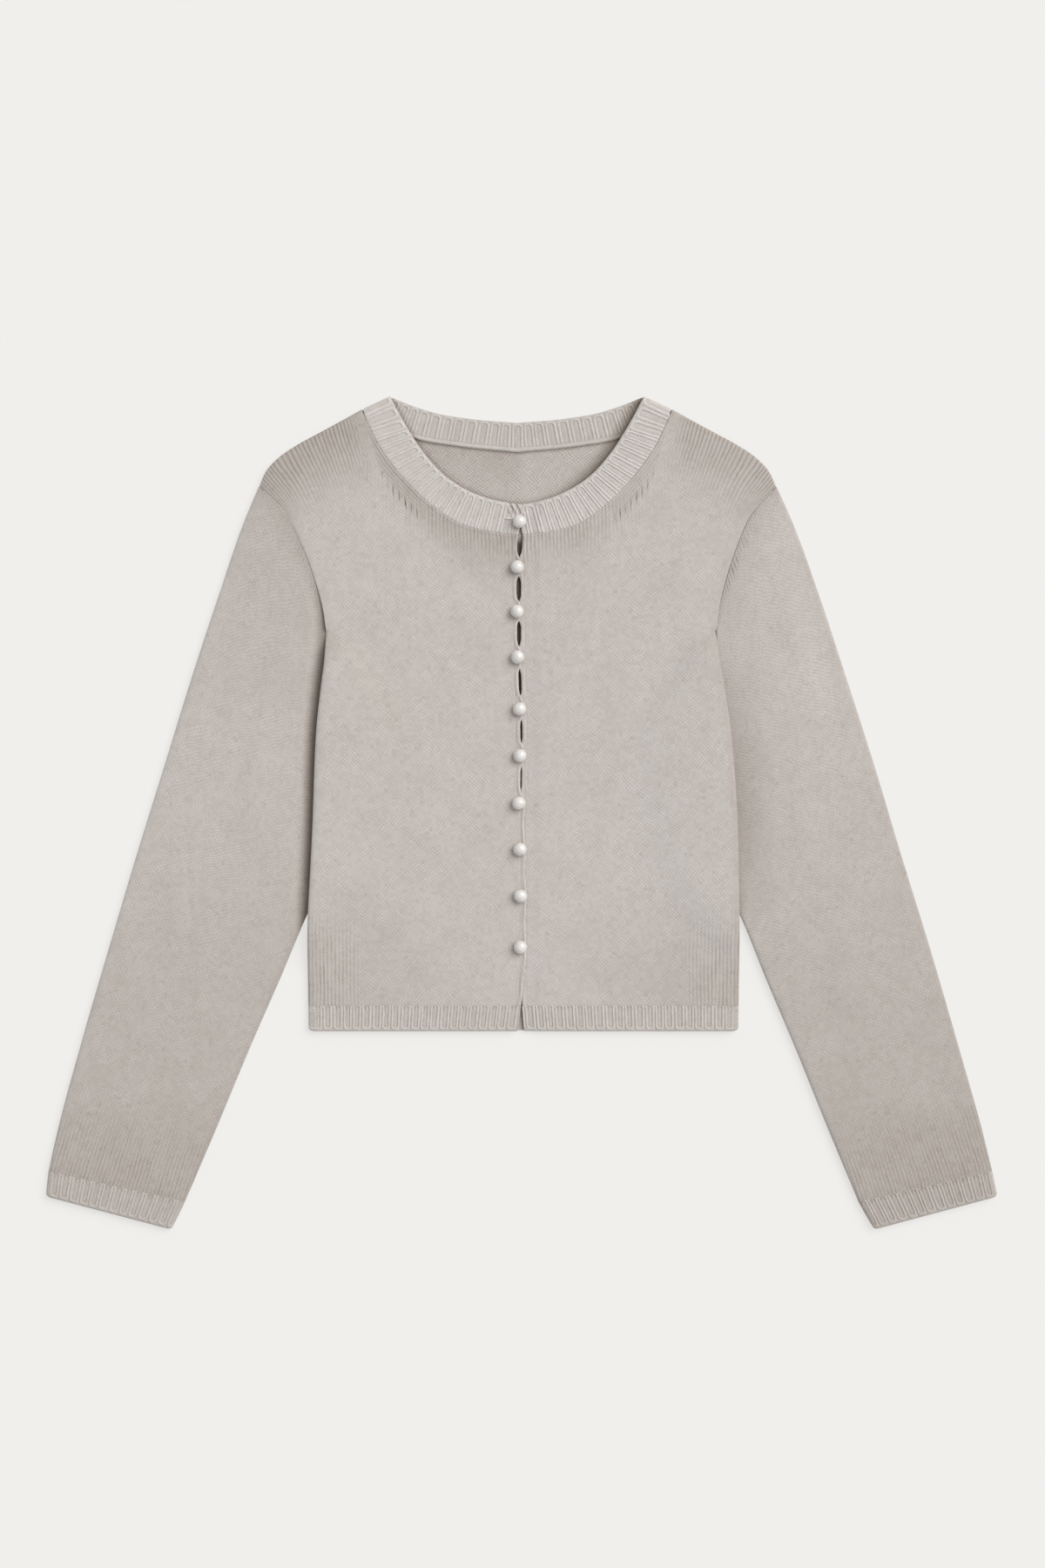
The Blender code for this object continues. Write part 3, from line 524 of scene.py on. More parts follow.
def wool(name, purl, bump, stitch_depth, groove_depth):
    """Colour = wool times tone, times what the stitch, groove, chance, nap and rib masks give; stitch,
    groove and dash paint shade, the rib mask paints light.
    """
    made = new_look(name)
    tree = made.node_tree
    work = partial(maths, tree)
    shader = tree.nodes["Principled BSDF"]
    settle(shader, Roughness=0.92, Specular_IOR_Level=0.25)
    settle(shader, Sheen_Weight=0.4, Sheen_Roughness=0.4, Sheen_Tint=(0.95, 0.92, 0.88, 1.0))
    maps = {}
    for title in ("knit", "fan"):
        maps[title] = tree.nodes.new("ShaderNodeUVMap")
        maps[title].uv_map = title
    masks = {}
    for title in POINT_VALUES:
        node = tree.nodes.new("ShaderNodeAttribute")
        node.attribute_name = title
        masks[title] = node.outputs["Fac"]
    loops, columns = tree.nodes.new("ShaderNodeGroup"), tree.nodes.new("ShaderNodeGroup")
    loops.node_tree, columns.node_tree = stitches, grooves
    loops.inputs["Purl"].default_value = purl
    sockets = (loops.inputs[0], columns.inputs[0], columns.inputs[1])
    for title, socket in zip(("knit", "fan", "knit"), sockets):
        tree.links.new(maps[title].outputs[0], socket)
    place = tree.nodes.new("ShaderNodeTexCoord").outputs["Object"]
    nap, cloud, uneven = (
        noise(tree, place, scale, detail).outputs["Fac"]
        for scale, detail in ((900.0, 3.0), (34.0, 2.0), (110.0, 2.0))
    )
    fanned = work("MULTIPLY", columns.outputs["Fanned"], masks["fan_share"])
    groove = work("MULTIPLY_ADD", columns.outputs["Straight"], masks["straight"], fanned)
    flatness = work("MULTIPLY_ADD", masks["fan_share"], 0.85, masks["flat"])
    flatness = work("MULTIPLY_ADD", masks["straight"], 0.45, flatness)
    stitch = work("MULTIPLY", loops.outputs["Height"], work("SUBTRACT", 1.0, flatness, clamp=True))
    dash = work("MULTIPLY", columns.outputs["Dashes"], masks["marks"])

    yarn = loops.outputs["Yarn shade"]
    # painted shade in the stitch gaps, grooves and dashes, and painted light on the groove crests and
    # rib lines
    grooved = work("ADD", masks["fan_share"], masks["straight"])
    crest = work("MULTIPLY_ADD", grooved, 0.3 * groove_depth, 1.0)
    shade = work("MULTIPLY_ADD", stitch, stitch_depth, 1.0 - 0.45 * stitch_depth)
    for mask, slope, level in (
        (groove, -groove_depth, crest), (yarn, 0.11, 0.945), (work("POWER", yarn, 14.0), -0.16, 1.0),
        (nap, 0.07, 0.965), (cloud, 0.12, 0.94), (uneven, 0.10, 0.95), (masks["painted_light"], 0.15, 1.0),
        (dash, -0.6, 1.0), (masks["tone"], 1.0, 0.0),
    ):
        shade = work("MULTIPLY", shade, work("MULTIPLY_ADD", mask, slope, level))
    paint = tree.nodes.new("ShaderNodeCombineColor")
    channels = [
        work("MULTIPLY", work("POWER", shade, power), part)
        for part, power in zip(WOOL_COLOUR, WARM_SHADE)
    ]
    tree.links.new(wired(tree, paint, channels), shader.inputs["Base Color"])

    height = work("MULTIPLY_ADD", nap, 0.2, stitch)
    for mask, slope in ((groove, -1.4), (dash, -1.2)):
        height = work("MULTIPLY_ADD", mask, slope, height)
    relief = tree.nodes.new("ShaderNodeBump")
    settle(relief, Strength=bump, Distance=0.0005)
    tree.links.new(height, relief.inputs["Height"])
    tree.links.new(relief.outputs[0], shader.inputs["Normal"])
    return made


FACE = wool("wool plain knit", 0.9, 0.32, 0.29, 0.36)
REVERSE = wool("wool wrong side", 1.0, 0.5, 0.42, 0.30)
RIBBING = wool("wool ribbing", 0.9, 0.3, 0.2, 0.45)
print("wool finishes:", FACE.name, "|", REVERSE.name, "|", RIBBING.name)

# %% [markdown]
# ## The body: a back and two fronts
#
# Each panel is a grid whose columns start at the hem and run to the shoulder or the neckline, so
# every edge of the cut is a line of the grid. Near a fold the layer rounds in to the middle
# height like a quarter circle. On top of that form come soft creases, the hollow that each button
# pulls, the rolled edges at the opening, and a slight dip along each seam.

# %% Columns and rows of a body panel
FOLD_STEPS = 8  # columns or rows that round off a fold
CAP_FOLD = 0.04  # share of the armhole that a fold takes up
SIDE_PULL, MIDDLE_PULL = 90.0, 60.0  # how far in the armhole and the front edge bend the columns
INWARD = np.array([-0.42, -0.907])  # square to the shoulder
SIDE_KNOTS = np.array([0.0, 2.1, 6.0, 20.0, 34.0, 50.0, 68.0, 88.0])
SHOULDER_KNOTS = np.array([0.0, 0.02, 0.055, 0.2, 0.4, 0.6, 0.8, 1.0])
CORNER_KNOT = len(SIDE_KNOTS) - 1  # the column that runs to the shoulder's neck point
LOWER_ROWS, UPPER_ROWS = (6, 90), 50
Panel = namedtuple("Panel", "spare middle_steps band neck_knots counts")
FRONT = Panel(
    5, (24.0, 13.0, 5.0, 0.0), FRONT_BAND, (0.05, 0.17, 0.3, 0.43, 0.56, 0.69, 0.81, 0.92, 1.0),
    (2, 4, 4, 4, 4, 4, 4, 4, 10),
)
BACK = Panel(3, (0.0,), BACK_BAND, (0.08, 0.35, 0.65, 1.0), (5, 8, 8, 8))
SHOULDER_WALE = 2.8  # the columns are drawn closer on the shoulder
WALE, COURSE = 3.2, 2.85  # width and height of a plain stitch
STRETCHED_WALE = 2.7  # width of a column where the knit is pulled


def column_places(panel):
    """Distance from the side for the folded columns, and every column's place among the knots."""
    side = np.concatenate([fold_steps(FOLD, FOLD_STEPS), finer(SIDE_KNOTS[2:], (4, 4, 5, 5, 6))[1:]])
    knots = np.arange(CORNER_KNOT, CORNER_KNOT + len(panel.counts) + 1)
    outer_place = np.interp(side, SIDE_KNOTS, np.arange(len(SIDE_KNOTS)))
    return side, np.concatenate([outer_place, finer(knots, panel.counts)[1:]])


def neck_shares(panel, place):
    """Share of the way along the neckline, for columns past the shoulder's neck point."""
    knots = np.array((0.0,) + panel.neck_knots)
    return np.interp(place, CORNER_KNOT + np.arange(len(knots)), knots)


def at_places(values, place):
    """Values at the knots along the last axis, read straight between them."""
    low = np.minimum(place.astype(int), values.shape[-1] - 2)
    return between(values[..., low], values[..., low + 1], place - low)


def seam_points(line, shares):
    """Points of a seam, at shares of the way along it."""
    return together(smooth(line, 1, shares), smooth(line, 2, shares))


# %% The lower and the upper part of a panel
def lower_part(panel, middle, inset, place, across_fold):
    """Columns at set distances from the side and from the middle, and others spread between."""
    rows = finer((HEM_SEAM, HEM_SEAM + FOLD, UNDERARM), LOWER_ROWS)[:, None]
    spread = np.arange(1, panel.spare + 1) / (panel.spare + 1)
    from_side = smooth(BODY_SIDE, 1, rows) - SIDE_KNOTS
    from_middle = middle(rows) + np.array(panel.middle_steps)
    filled = between(from_side[:, -1:], from_middle[:, :1], spread)
    half = at_places(np.hstack([from_side, filled, from_middle]), place)
    return half, rows, together(half - inset * rest(across_fold), rows)


def upper_part(panel, middle, inset, place, across_fold, start):
    """Straight columns to the armhole, shoulder or neck, bent along the armhole and the front edge."""
    fold_rows = fold_steps(CAP_FOLD, FOLD_STEPS)
    plain_rows = np.linspace(CAP_FOLD, 1 - CAP_FOLD, UPPER_ROWS)[1:-1]
    steps = np.concatenate([fold_rows[1:], plain_rows, 1 - fold_rows[::-1]])[:, None]
    shoulder_shares = np.interp(place, np.arange(len(SHOULDER_KNOTS)), SHOULDER_KNOTS)
    on_shoulder = seam_points(SHOULDER, shoulder_shares)
    on_neck = seam_points(panel.band, neck_shares(panel, place))
    top = np.where((place <= CORNER_KNOT)[:, None], on_shoulder, on_neck)
    straight = between(start, top, steps[..., None])
    armhole = seam_points(ARMHOLE, steps[:, 0]) - [SEAM * 1.5, 0]
    middle_y = between(UNDERARM, top[-1, 1], steps[:, 0])
    middle_edge = together(middle(middle_y), middle_y)
    side_pull = rest((start[0, 0] - start[:, 0]) / SIDE_PULL) ** 2
    middle_pull = rest((start[:, 0] - start[-1, 0]) / MIDDLE_PULL) ** 2
    upper = straight + (armhole - straight[:, 0])[:, None] * side_pull[:, None]
    upper = upper + (middle_edge - straight[:, -1])[:, None] * middle_pull[:, None]
    shoulder_share = rest(place - CORNER_KNOT)
    rising = np.maximum(dome(across_fold), dome(steps / CAP_FOLD))
    falling = between(1, dome((1 - steps) / CAP_FOLD), shoulder_share)
    upper[..., 0] -= inset * (rest(across_fold) * rest(steps / CAP_FOLD))
    upper += (inset * rest((1 - steps) / CAP_FOLD) * shoulder_share)[..., None] * INWARD
    length = np.linalg.norm(top - start, axis=-1)
    return upper, np.minimum(rising, falling), (1 - steps) * length, length


def body_grid(panel, middle, inset):
    """For half a panel: plan, fullness of the fold, distance from the top, column foot and place."""
    side, place = column_places(panel)
    across_fold = np.ones(len(place))
    across_fold[: len(side)] = side / FOLD
    half, rows, lower = lower_part(panel, middle, inset, place, across_fold)
    start = together(half[-1], UNDERARM)
    upper, upper_full, upper_below, length = upper_part(panel, middle, inset, place, across_fold, start)
    full = np.concatenate([dome(across_fold) + 0 * half, upper_full])
    below_top = np.concatenate([length + UNDERARM - rows, upper_below])
    plan, spread = np.concatenate([lower, upper]), 0 * below_top
    return plan, full, below_top, start[:, 0] + spread, place + spread


def stand(side, plan, height):
    """Points in space from half widths and heights in the plan, and heights off the surface."""
    return together(centre(plan[..., 1]) + side * plan[..., 0], plan[..., 1], height)


def counted(y, *columns):
    """A map in stitches for each count of columns, with rows counted along y."""
    return [together(column, y / COURSE) for column in columns]


def upper_height(plan, full, low):
    """From just above the middle at a fold's edge up to DEPTH less low, and the lift on top."""
    return DEPTH / 2 + SEAM / 2 + (DEPTH / 2 - low - SEAM / 2) * full + lift(plan[..., 0], plan[..., 1])


def under_height(plan, full, low):
    """From just below the middle at a fold's edge down to low, and the lift on top."""
    return (DEPTH / 2 - SEAM / 2) * (1 - full) + low * full + lift(plan[..., 0], plan[..., 1])


def joined(right, left, axis=1):
    """The wearer's right half, then the left one turned round, less the line that they share."""
    return np.concatenate([right, np.delete(np.flip(left, axis), 0, axis)], axis)


print("a front has", len(column_places(FRONT)[1]), "columns")

# %% [markdown]
# ## Creases and pulls
#
# The cardigan was smoothed out by hand, so its creases are few and soft. Each is a short line
# with a width and a height, more than 0 for a ridge and less for a trough. Its cross section is a
# bell curve, and it fades out towards both ends.

# %% Creases
FRONT_CREASES = table(
    "x0 y0 x1 y1 width height",
    (-158, 176, -96, 96, 13, -0.7), (-120, 232, -150, 150, 15, 0.6),
    (150, 180, 104, 92, 14, -0.6), (118, 236, 146, 160, 16, 0.5),
    (-150, -78, -112, -150, 16, -0.7), (-110, -66, -70, -146, 20, 0.5),
    (146, -84, 96, -150, 17, -0.8), (96, -60, 70, -130, 18, 0.5),
    (-60, 214, -20, 176, 10, -0.4), (56, 208, 18, 160, 10, -0.4),
    (-96, 20, -64, -30, 18, 0.4), (88, 12, 60, 70, 20, 0.4),
)
BACK_CREASES = table(
    "x0 y0 x1 y1 width height",
    (-120, 150, -60, 60, 14, 0.7), (126, 130, 70, 30, 15, 0.8),
    (-90, -40, -40, -120, 16, 0.6), (60, -60, 110, -140, 15, 0.7),
    (-20, 230, 30, 130, 18, 0.5), (-150, 20, -110, -60, 12, 0.5),
)


def creased(creases, x, y):
    """Sum of height times a bell across the line times 1 - t to the fourth along it."""
    total = 0 * x
    for crease in creases:
        run = np.array([crease.x1 - crease.x0, crease.y1 - crease.y0])
        length = np.hypot(*run)
        way = run / length
        along = (x - crease.x0) * way[0] + (y - crease.y0) * way[1]
        off = (x - crease.x0) * way[1] - (y - crease.y0) * way[0]
        t = np.clip(np.abs(2 * along / length - 1), 0, 1.6) / 1.6
        total = total + crease.height * hill(off, crease.width) * (1 - t**2) ** 2
    return total


def pulled(x, y):
    """A hollow at each button and two faint ridges from it along the opening's pull."""
    total = 0 * x
    for button in BUTTONS:
        off_x, off_y = x - button.x, y - button.y
        total = total - 0.7 * hill(np.hypot(off_x, off_y), 9.0)
        for slope in (-0.25, 0.3):
            line = off_y - slope * np.abs(off_x)
            total = total + 0.22 * hill(line, 2.6) * hill(np.abs(off_x) - 13, 10)
    return total


print(len(FRONT_CREASES) + len(BACK_CREASES), "creases on the body")

# %% [markdown]
# ## Tone and grooves over a panel
#
# The columns of stitches show as grooves where the knit is stretched: over the shoulder, where
# they fan out to the armhole, in the few columns that run beside the neckband, under the front
# neckband, beside the opening and low at the side seams. Tone falls a little at the shoulders,
# the side seams and the hem: this is painted shade. Along a fold the stitches lie pressed and
# almost smooth, and the tone paints the fold a little lighter. The tone also holds painted light
# that evens out the long slopes where one layer climbs over another.

# %% Painted light that evens out slopes
SLOPE_LIGHT_X, SLOPE_LIGHT_Y = 0.39, 0.28


def painted_slope_light(skin):
    """Painted light: tone 1 + 0.39 slope in X + 0.28 slope in Y, kept near 1, against the key's
    shading.
    """
    (x_u, x_v), (y_u, y_v), (z_u, z_v) = (np.gradient(skin[..., axis]) for axis in range(3))
    area = x_u * y_v - x_v * y_u
    area = np.where(np.abs(area) < 1e-9, 1e-9, area)
    slope_x, slope_y = (z_u * y_v - z_v * y_u) / area, (x_u * z_v - x_v * z_u) / area
    return np.clip(1 + SLOPE_LIGHT_X * slope_x + SLOPE_LIGHT_Y * slope_y, 0.88, 1.2)


def side_line(y):
    """Half width of the body's side, and above the underarm that of the armhole's seam."""
    armhole = np.array(ARMHOLE)
    above = np.interp(y, armhole[:, 2], armhole[:, 1])
    return np.where(y < UNDERARM, smooth(BODY_SIDE, 1, np.minimum(y, UNDERARM)), above)


print("tone on a slope of 1 in 5:", 1 + SLOPE_LIGHT_X / 5)

# %% Stitch maps and masks of a panel
SHOULDER_REACH, BELOW_NECK, BESIDE_EDGE = 66.0, 34.0, 10.0
NECK_BORDER, BORDER_END = 12.0, 0.62  # width of the columns beside the neckband, and their end
MARKS_AT, MARKS_WIDTH = 13.5, 2.8  # where beside the neckband two columns are knitted into one
SMOOTH_REACH, SMOOTH_SHARE = 9.0, 0.7  # how far in from a fold, and how much, stitches lie pressed
CAP_TOP = 262.0  # above this the shoulder is not pressed
# painted shade: how much darker each side is at the shoulders and low down
PAINTED_SHADE = dict(zip((RIGHT, LEFT), table("shoulder low", (0.16, 0.085), (0.07, 0.11))))  # how much darker
INSIDE_TONE = 0.9  # tone inside the cloth, as a share of that outside


def from_neckline(plan, panel):
    """Distance to the nearest of 160 points along the neckband's seam, and that point's share."""
    shares = np.linspace(0, 1, 160)
    line = seam_points(panel.band, shares)
    away = np.linalg.norm(plan[:, :, None] - line, axis=-1)
    nearest = away.argmin(axis=-1)
    return away.min(axis=-1), shares[nearest]


def panel_maps(side, panel, plan, below_top, foot, place, edge):
    """Plain stitches in rows and columns; grooves follow the panel's columns near its top."""
    half, y = plan[..., 0], plan[..., 1]
    from_neck, neck_share = from_neckline(plan, panel)
    columns = np.where(place <= CORNER_KNOT, foot / SHOULDER_WALE, from_neck / STRETCHED_WALE)
    knit, fan = counted(y, side * half / WALE, columns)
    past_corner = ease((place - CORNER_KNOT) / 0.5)
    past_border = ease((from_neck - NECK_BORDER + 2) / 4)
    on_shoulder = faded(below_top - 4, SHOULDER_REACH) * ease(CORNER_KNOT - place)
    on_border = (1 - past_border) * past_corner * ease((BORDER_END - neck_share) / 0.2)
    under_neck = faded(from_neck, BELOW_NECK) * ease((neck_share - BORDER_END + 0.2) / 0.2)
    under_border = past_border * faded(from_neck - NECK_BORDER, 40) * ease((0.7 - neck_share) / 0.3)
    under_border = under_border * (place > CORNER_KNOT - 1)
    near_edge = faded(half - edge, BESIDE_EDGE)
    low = ease((-70 - y) / 60) * ease((half - 128) / 30)
    flat = SMOOTH_SHARE * faded(plan[:, :1, 0] - half, SMOOTH_REACH) * ease((CAP_TOP - y) / 60)
    # painted shade: darker near the shoulders and in the low corners
    shoulder_shade = PAINTED_SHADE[side].shoulder * faded(below_top, 70)
    low_shade = PAINTED_SHADE[side].low * ease((-50 - y) / 110) * ease(half / 150)
    seam_line = 0.07 * hill(from_neck, 0.9) * past_corner
    straight = 0.7 * under_neck + 0.15 * under_border + 0.45 * near_edge + 0.6 * low
    marks = hill(from_neck - MARKS_AT, MARKS_WIDTH)
    masks = {
        # tone: that painted shade, and painted light along the folds
        "tone": (1 - shoulder_shade - low_shade + 0.06 * flat) * (1 - seam_line),
        "fan_share": np.clip(0.95 * on_shoulder + 0.45 * on_border, 0, 1),
        "straight": straight.clip(0, 1),
        "marks": marks * past_corner * ease((BORDER_END - neck_share) / 0.1),
        "flat": flat,
    }
    return knit, fan, masks, from_neck


def painted_neck_shadow(x, y):
    """Painted shadow inside the neck, next to the front neckband's free edge; deeper on the wearer's
    left.
    """
    shares = np.linspace(0, 1, 120)
    half, height = smooth(FRONT_BAND, 3, shares), smooth(FRONT_BAND, 4, shares)
    lines = [centre(height) + side * half for side in (RIGHT, LEFT)]
    away = [np.hypot(x[..., None] - line, y[..., None] - height).min(-1) for line in lines]
    share = ease((x - 15) / 55)
    return 0.62 * share * faded(away[1], 13) + 0.3 * (1 - share) * faded(np.minimum(*away), 5)


def seam_dip(full_edge):
    """Half a millimetre down at an edge, rounded up like a dome over 1.8 mm."""
    return -0.5 * (1 - dome(full_edge / 1.8))


# %% The fronts
EDGE_ROLL, UNDER_ROLL = 0.75, 0.6  # how far an edge rolls up, and the share of it underneath
CORD_AT, CORD_WIDTH, CORD_HEIGHT = 1.3, 0.9, 0.4  # the raised edge stitch beside the neckband


def front_panel(name, node, side):
    """Both skins; creases, pulls, the rolled edge and the cord stand on the outer one's height."""
    middle = partial(edge_half, side)
    skins = []
    for low in (0.0, WALL):
        plan, full, below_top, foot, place = body_grid(FRONT, middle, low)
        skin = stand(side, plan, upper_height(plan, full, low))
        edge = plan[..., 0] - middle(plan[..., 1])
        x, y = skin[..., 0], skin[..., 1]
        roll = EDGE_ROLL * hill(edge - 1.5, 1.5) * (1.0 if side == RIGHT else UNDER_ROLL)
        soft = (creased(FRONT_CREASES, x, y) + pulled(x, y)) * full
        thin = low / WALL * 2 - 1  # -1 on the outer skin, 1 on the inner one
        # painted light that evens out the key's shading on the slopes
        slope_light = painted_slope_light(skin - together(0, 0, dip(side, x)))
        rim = 0.35 * (1 - dome(edge / 1.2))
        if side == LEFT:
            soft = soft * ease((x - 6) / 12)
        skin[..., 2] += soft - dip(side, x) + roll + thin * rim
        if not low:
            maps = panel_maps(side, FRONT, plan, below_top, foot, place, plan[..., 0] - edge)
            on_neck = ease(place - CORNER_KNOT)
            cord = hill(maps[3] - CORD_AT, CORD_WIDTH) * on_neck
            dips = 0.5 * seam_dip(y - HEM_SEAM) + seam_dip(maps[3]) * on_neck
            skin[..., 2] += dips + CORD_HEIGHT * cord
            from_armhole = 0.85 * (plan[:, :1, 0] - plan[..., 0])
            skin[..., 2] += seam_dip(from_armhole) * ease((y - UNDERARM - 4) / 30)
            outer_edge, outer_slope_light = edge, slope_light
        skins.append(skin)
    knit, fan, masks, _ = maps
    points = {title: (values, 0.0) for title, values in masks.items()}
    points["tone"] = (masks["tone"] * outer_slope_light, masks["tone"] * INSIDE_TONE)
    # painted highlight on the rolled edge and on the cord
    points["painted_light"] = (0.3 * hill(outer_edge - 1.3, 1.2) + 0.25 * cord, 0.0)
    piece = wall(name, skins[0], skins[1], (FACE, REVERSE), knit, fan, points)
    dress(piece, node)


front_panel("right_front_knit", "front_right", RIGHT)
front_panel("left_front_knit", "front_left", LEFT)

# %% [markdown]
# ## The back
#
# The back lies on the surface, so its right side faces down and its wrong side, with the dots of
# its purl loops, shows inside the neck. It is one panel: the halves share the middle column. Its
# inside is darkened with painted shadow under the slits of the opening, below the linked seam's
# roll and beside the front neckband.

# %% The back panel
# painted shadow: SLIT_SHADE darkens the back's inside under the slits, LINK_SHADE below the linked
# seam's roll
BACK_TONE, SLIT_SHADE = 0.975, 0.9  # inside the neck, and how dark the cloth under the slits is
LINK_SHADE, PRESSED_SHARE = 0.4, 0.6  # the linked seam's shade, and how much of a crease is left


def back_panel():
    """Two halves on one middle column; only ridges are kept, as the surface presses troughs flat."""
    halves, maps = [], []
    for side in (RIGHT, LEFT):
        skins = []
        for low in (0.0, WALL):
            plan, full, below_top, foot, place = body_grid(BACK, np.zeros_like, low)
            skin = stand(side, plan, under_height(plan, full, low))
            ridges = creased(BACK_CREASES, skin[..., 0], skin[..., 1]).clip(0)
            skin[..., 2] += ridges * full * PRESSED_SHARE
            skins.append(skin)
            if not low:
                maps.append(panel_maps(side, BACK, plan, below_top, foot, place, plan[..., 0] * 0 - 99))
        halves.append(skins)
    outer, inner = (joined(halves[0][skin], halves[1][skin]) for skin in (0, 1))
    knit, fan, from_neck = (joined(maps[0][part], maps[1][part]) for part in (0, 1, 3))
    masks = {title: joined(maps[0][2][title], maps[1][2][title]) for title in maps[0][2]}
    x, y = inner[..., 0], inner[..., 1]
    # painted shadow under the slits of the opening and below the linked seam's roll
    deep = hill(x - EDGE_LINE + 2, 8.0) * ease((236 - y) / 8) * ease((y - 30) / 20)
    linked = hill(from_neck - 0.6, 1.6)
    inside = masks["tone"] * BACK_TONE * (1 - SLIT_SHADE * deep) * (1 - LINK_SHADE * linked)
    points = {title: (values, 0.0) for title, values in masks.items()}
    # painted shadow of the front neckband inside the neck
    points["tone"] = (masks["tone"], inside * (1 - painted_neck_shadow(x, y)))
    piece = wall("back_knit", outer, inner, (FACE, REVERSE), knit, fan, points)
    dress(piece, "back")


back_panel()

# %% [markdown]
# ## The sleeves
#
# Each sleeve is a tube that lies flat: a top and an underside with a rounded fold along both
# edges. A section is carried from the armhole to the cuff. Near the armhole its columns bow to
# follow the seam, and further down they run straight. The top sinks a little beside the body,
# where the body's side presses on it, and painted shadow darkens it there. Its tone also holds
# painted shade towards the cuff and at the armhole seam, painted light along the outer fold, and
# painted light that evens out its slopes.

# %% Sleeves
SLEEVE_ROWS, CAP_ROWS, CAP_SHARE = 150, 5, 0.012  # rows, and those in the first share of the length
BOW_REACH = 0.35  # share of the length over which the columns bow to the armhole
TOP_COLUMNS, UNDER_COLUMNS, ARMHOLE_LENGTH = 44, 24, 150
SLEEVE_CREASES = table(
    "x0 y0 x1 y1 width height",
    (246, 214, 268, 66, 15, -1.0), (262, 190, 290, 60, 12, 0.5),
    (214, 120, 236, -20, 14, 0.5), (300, -20, 330, -150, 15, -0.5),
    (262, -60, 296, -180, 17, 0.5), (300, -180, 352, -216, 13, -0.5),
    (286, -236, 356, -262, 12, 0.6), (330, -276, 384, -262, 10, -0.5),
    (206, 200, 226, 110, 10, -0.5), (246, -120, 268, -214, 12, -0.4),
)
PRESSED = 3.0  # how far the top sinks beside the body
# painted shadow on the sleeve beside the body's edge: its reach, depth and where it starts and ends
PAINTED_SIDE_SHADOW = dict(zip((RIGHT, LEFT), table(  # the shade on the sleeve beside the body's edge
    "reach depth top top_soft foot foot_soft",
    (14.0, 0.60, 215.0, 90.0, -116.0, 24.0), (34.0, 0.17, 150.0, 110.0, -100.0, 88.0),
)))
MARKS_SHARE = {RIGHT: 0.35, LEFT: 0.9}
UNDER_CREASES = table(
    "x0 y0 x1 y1 width height",
    (230, 160, 280, 20, 14, 0.6), (280, -40, 310, -170, 15, 0.7),
    (300, -210, 370, -250, 12, 0.6),
)


def tube_shares(reach, top_count, under_count):
    """Columns of the top from the outer edge to the inner one, then of the underside back."""
    fold = fold_steps(reach, FOLD_STEPS)
    top, low = (
        np.concatenate([fold, np.linspace(reach, 1 - reach, count)[1:-1], 1 - fold[::-1]])
        for count in (top_count, under_count)
    )
    low = low[1:-1]
    return np.concatenate([top, low[::-1]]), np.arange(len(top) + len(low)) < len(top)


def tube_skins(outer_ends, inner_ends, bow, shares, up_side, relief):
    """Outer and inner skins; height = (DEPTH + or - depth times fullness) / 2, plus the relief."""
    run = inner_ends - outer_ends
    way = run / np.linalg.norm(run, axis=-1, keepdims=True)
    near = np.minimum(shares, 1 - shares) / CAP_FOLD
    full = dome(near)
    plan = outer_ends[:, None] + run[:, None] * shares[:, None] + bow
    shift = (WALL * rest(near) * np.where(shares < 0.5, 1, -1))[:, None] * way[:, None]
    skins = []
    for points, depth, extra in ((plan, DEPTH, relief[0]), (plan + shift, DEPTH - 2 * WALL, relief[1])):
        z = (DEPTH + np.where(up_side, 1, -1) * depth * full) / 2 + extra
        skins.append(np.concatenate([points, (z + 0 * points[..., 0])[..., None]], -1))
    return skins


def sleeve_plan(side, rows, shares):
    """The ends of each row on the outer and inner edge, and how far its points bow to the armhole."""
    ends = []
    for line in (SLEEVE_OUTER, SLEEVE_INNER):
        y = between(line[-1].y, line[0].y, rows)
        ends.append(together(smooth(line, 2, y) + side * smooth(line, 1, y), y))
    cap = seam_points(ARMHOLE, 1 - shares)
    cap = together(centre(cap[:, 1]) + side * cap[:, 0], cap[:, 1])
    ends[0][0], ends[1][0] = cap[0], cap[np.argmax(shares)]
    bowed = cap - between(ends[0][0], ends[1][0], shares[:, None])
    return ends, bowed * (rest(rows / BOW_REACH) ** 2)[:, None, None]


def beside_body(side, half, y):
    """How far the body's edge presses the sleeve down, and the painted shadow beside it: depth times
    eased reaches.
    """
    off_side = half - side_line(np.clip(y, -185, 270))
    reach, depth, top, top_soft, foot, foot_soft = PAINTED_SIDE_SHADOW[side]
    started = ease((top - y) / top_soft) * ease((y - foot) / foot_soft)
    pressed = PRESSED * (faded(off_side, reach) * ease((top - y) / 60) * ease((y + 112) / 40))
    # painted shadow beside the body's edge
    side_shadow = depth * started * faded(off_side, reach * (0.35 + 0.65 * started))
    side_shadow = side_shadow + 0.3 * hill(y + 90, 22) * faded(off_side, 7) * (side == LEFT)
    return pressed, side_shadow + 0.07 * faded(off_side, 26) * ease((y - 130) / 50)


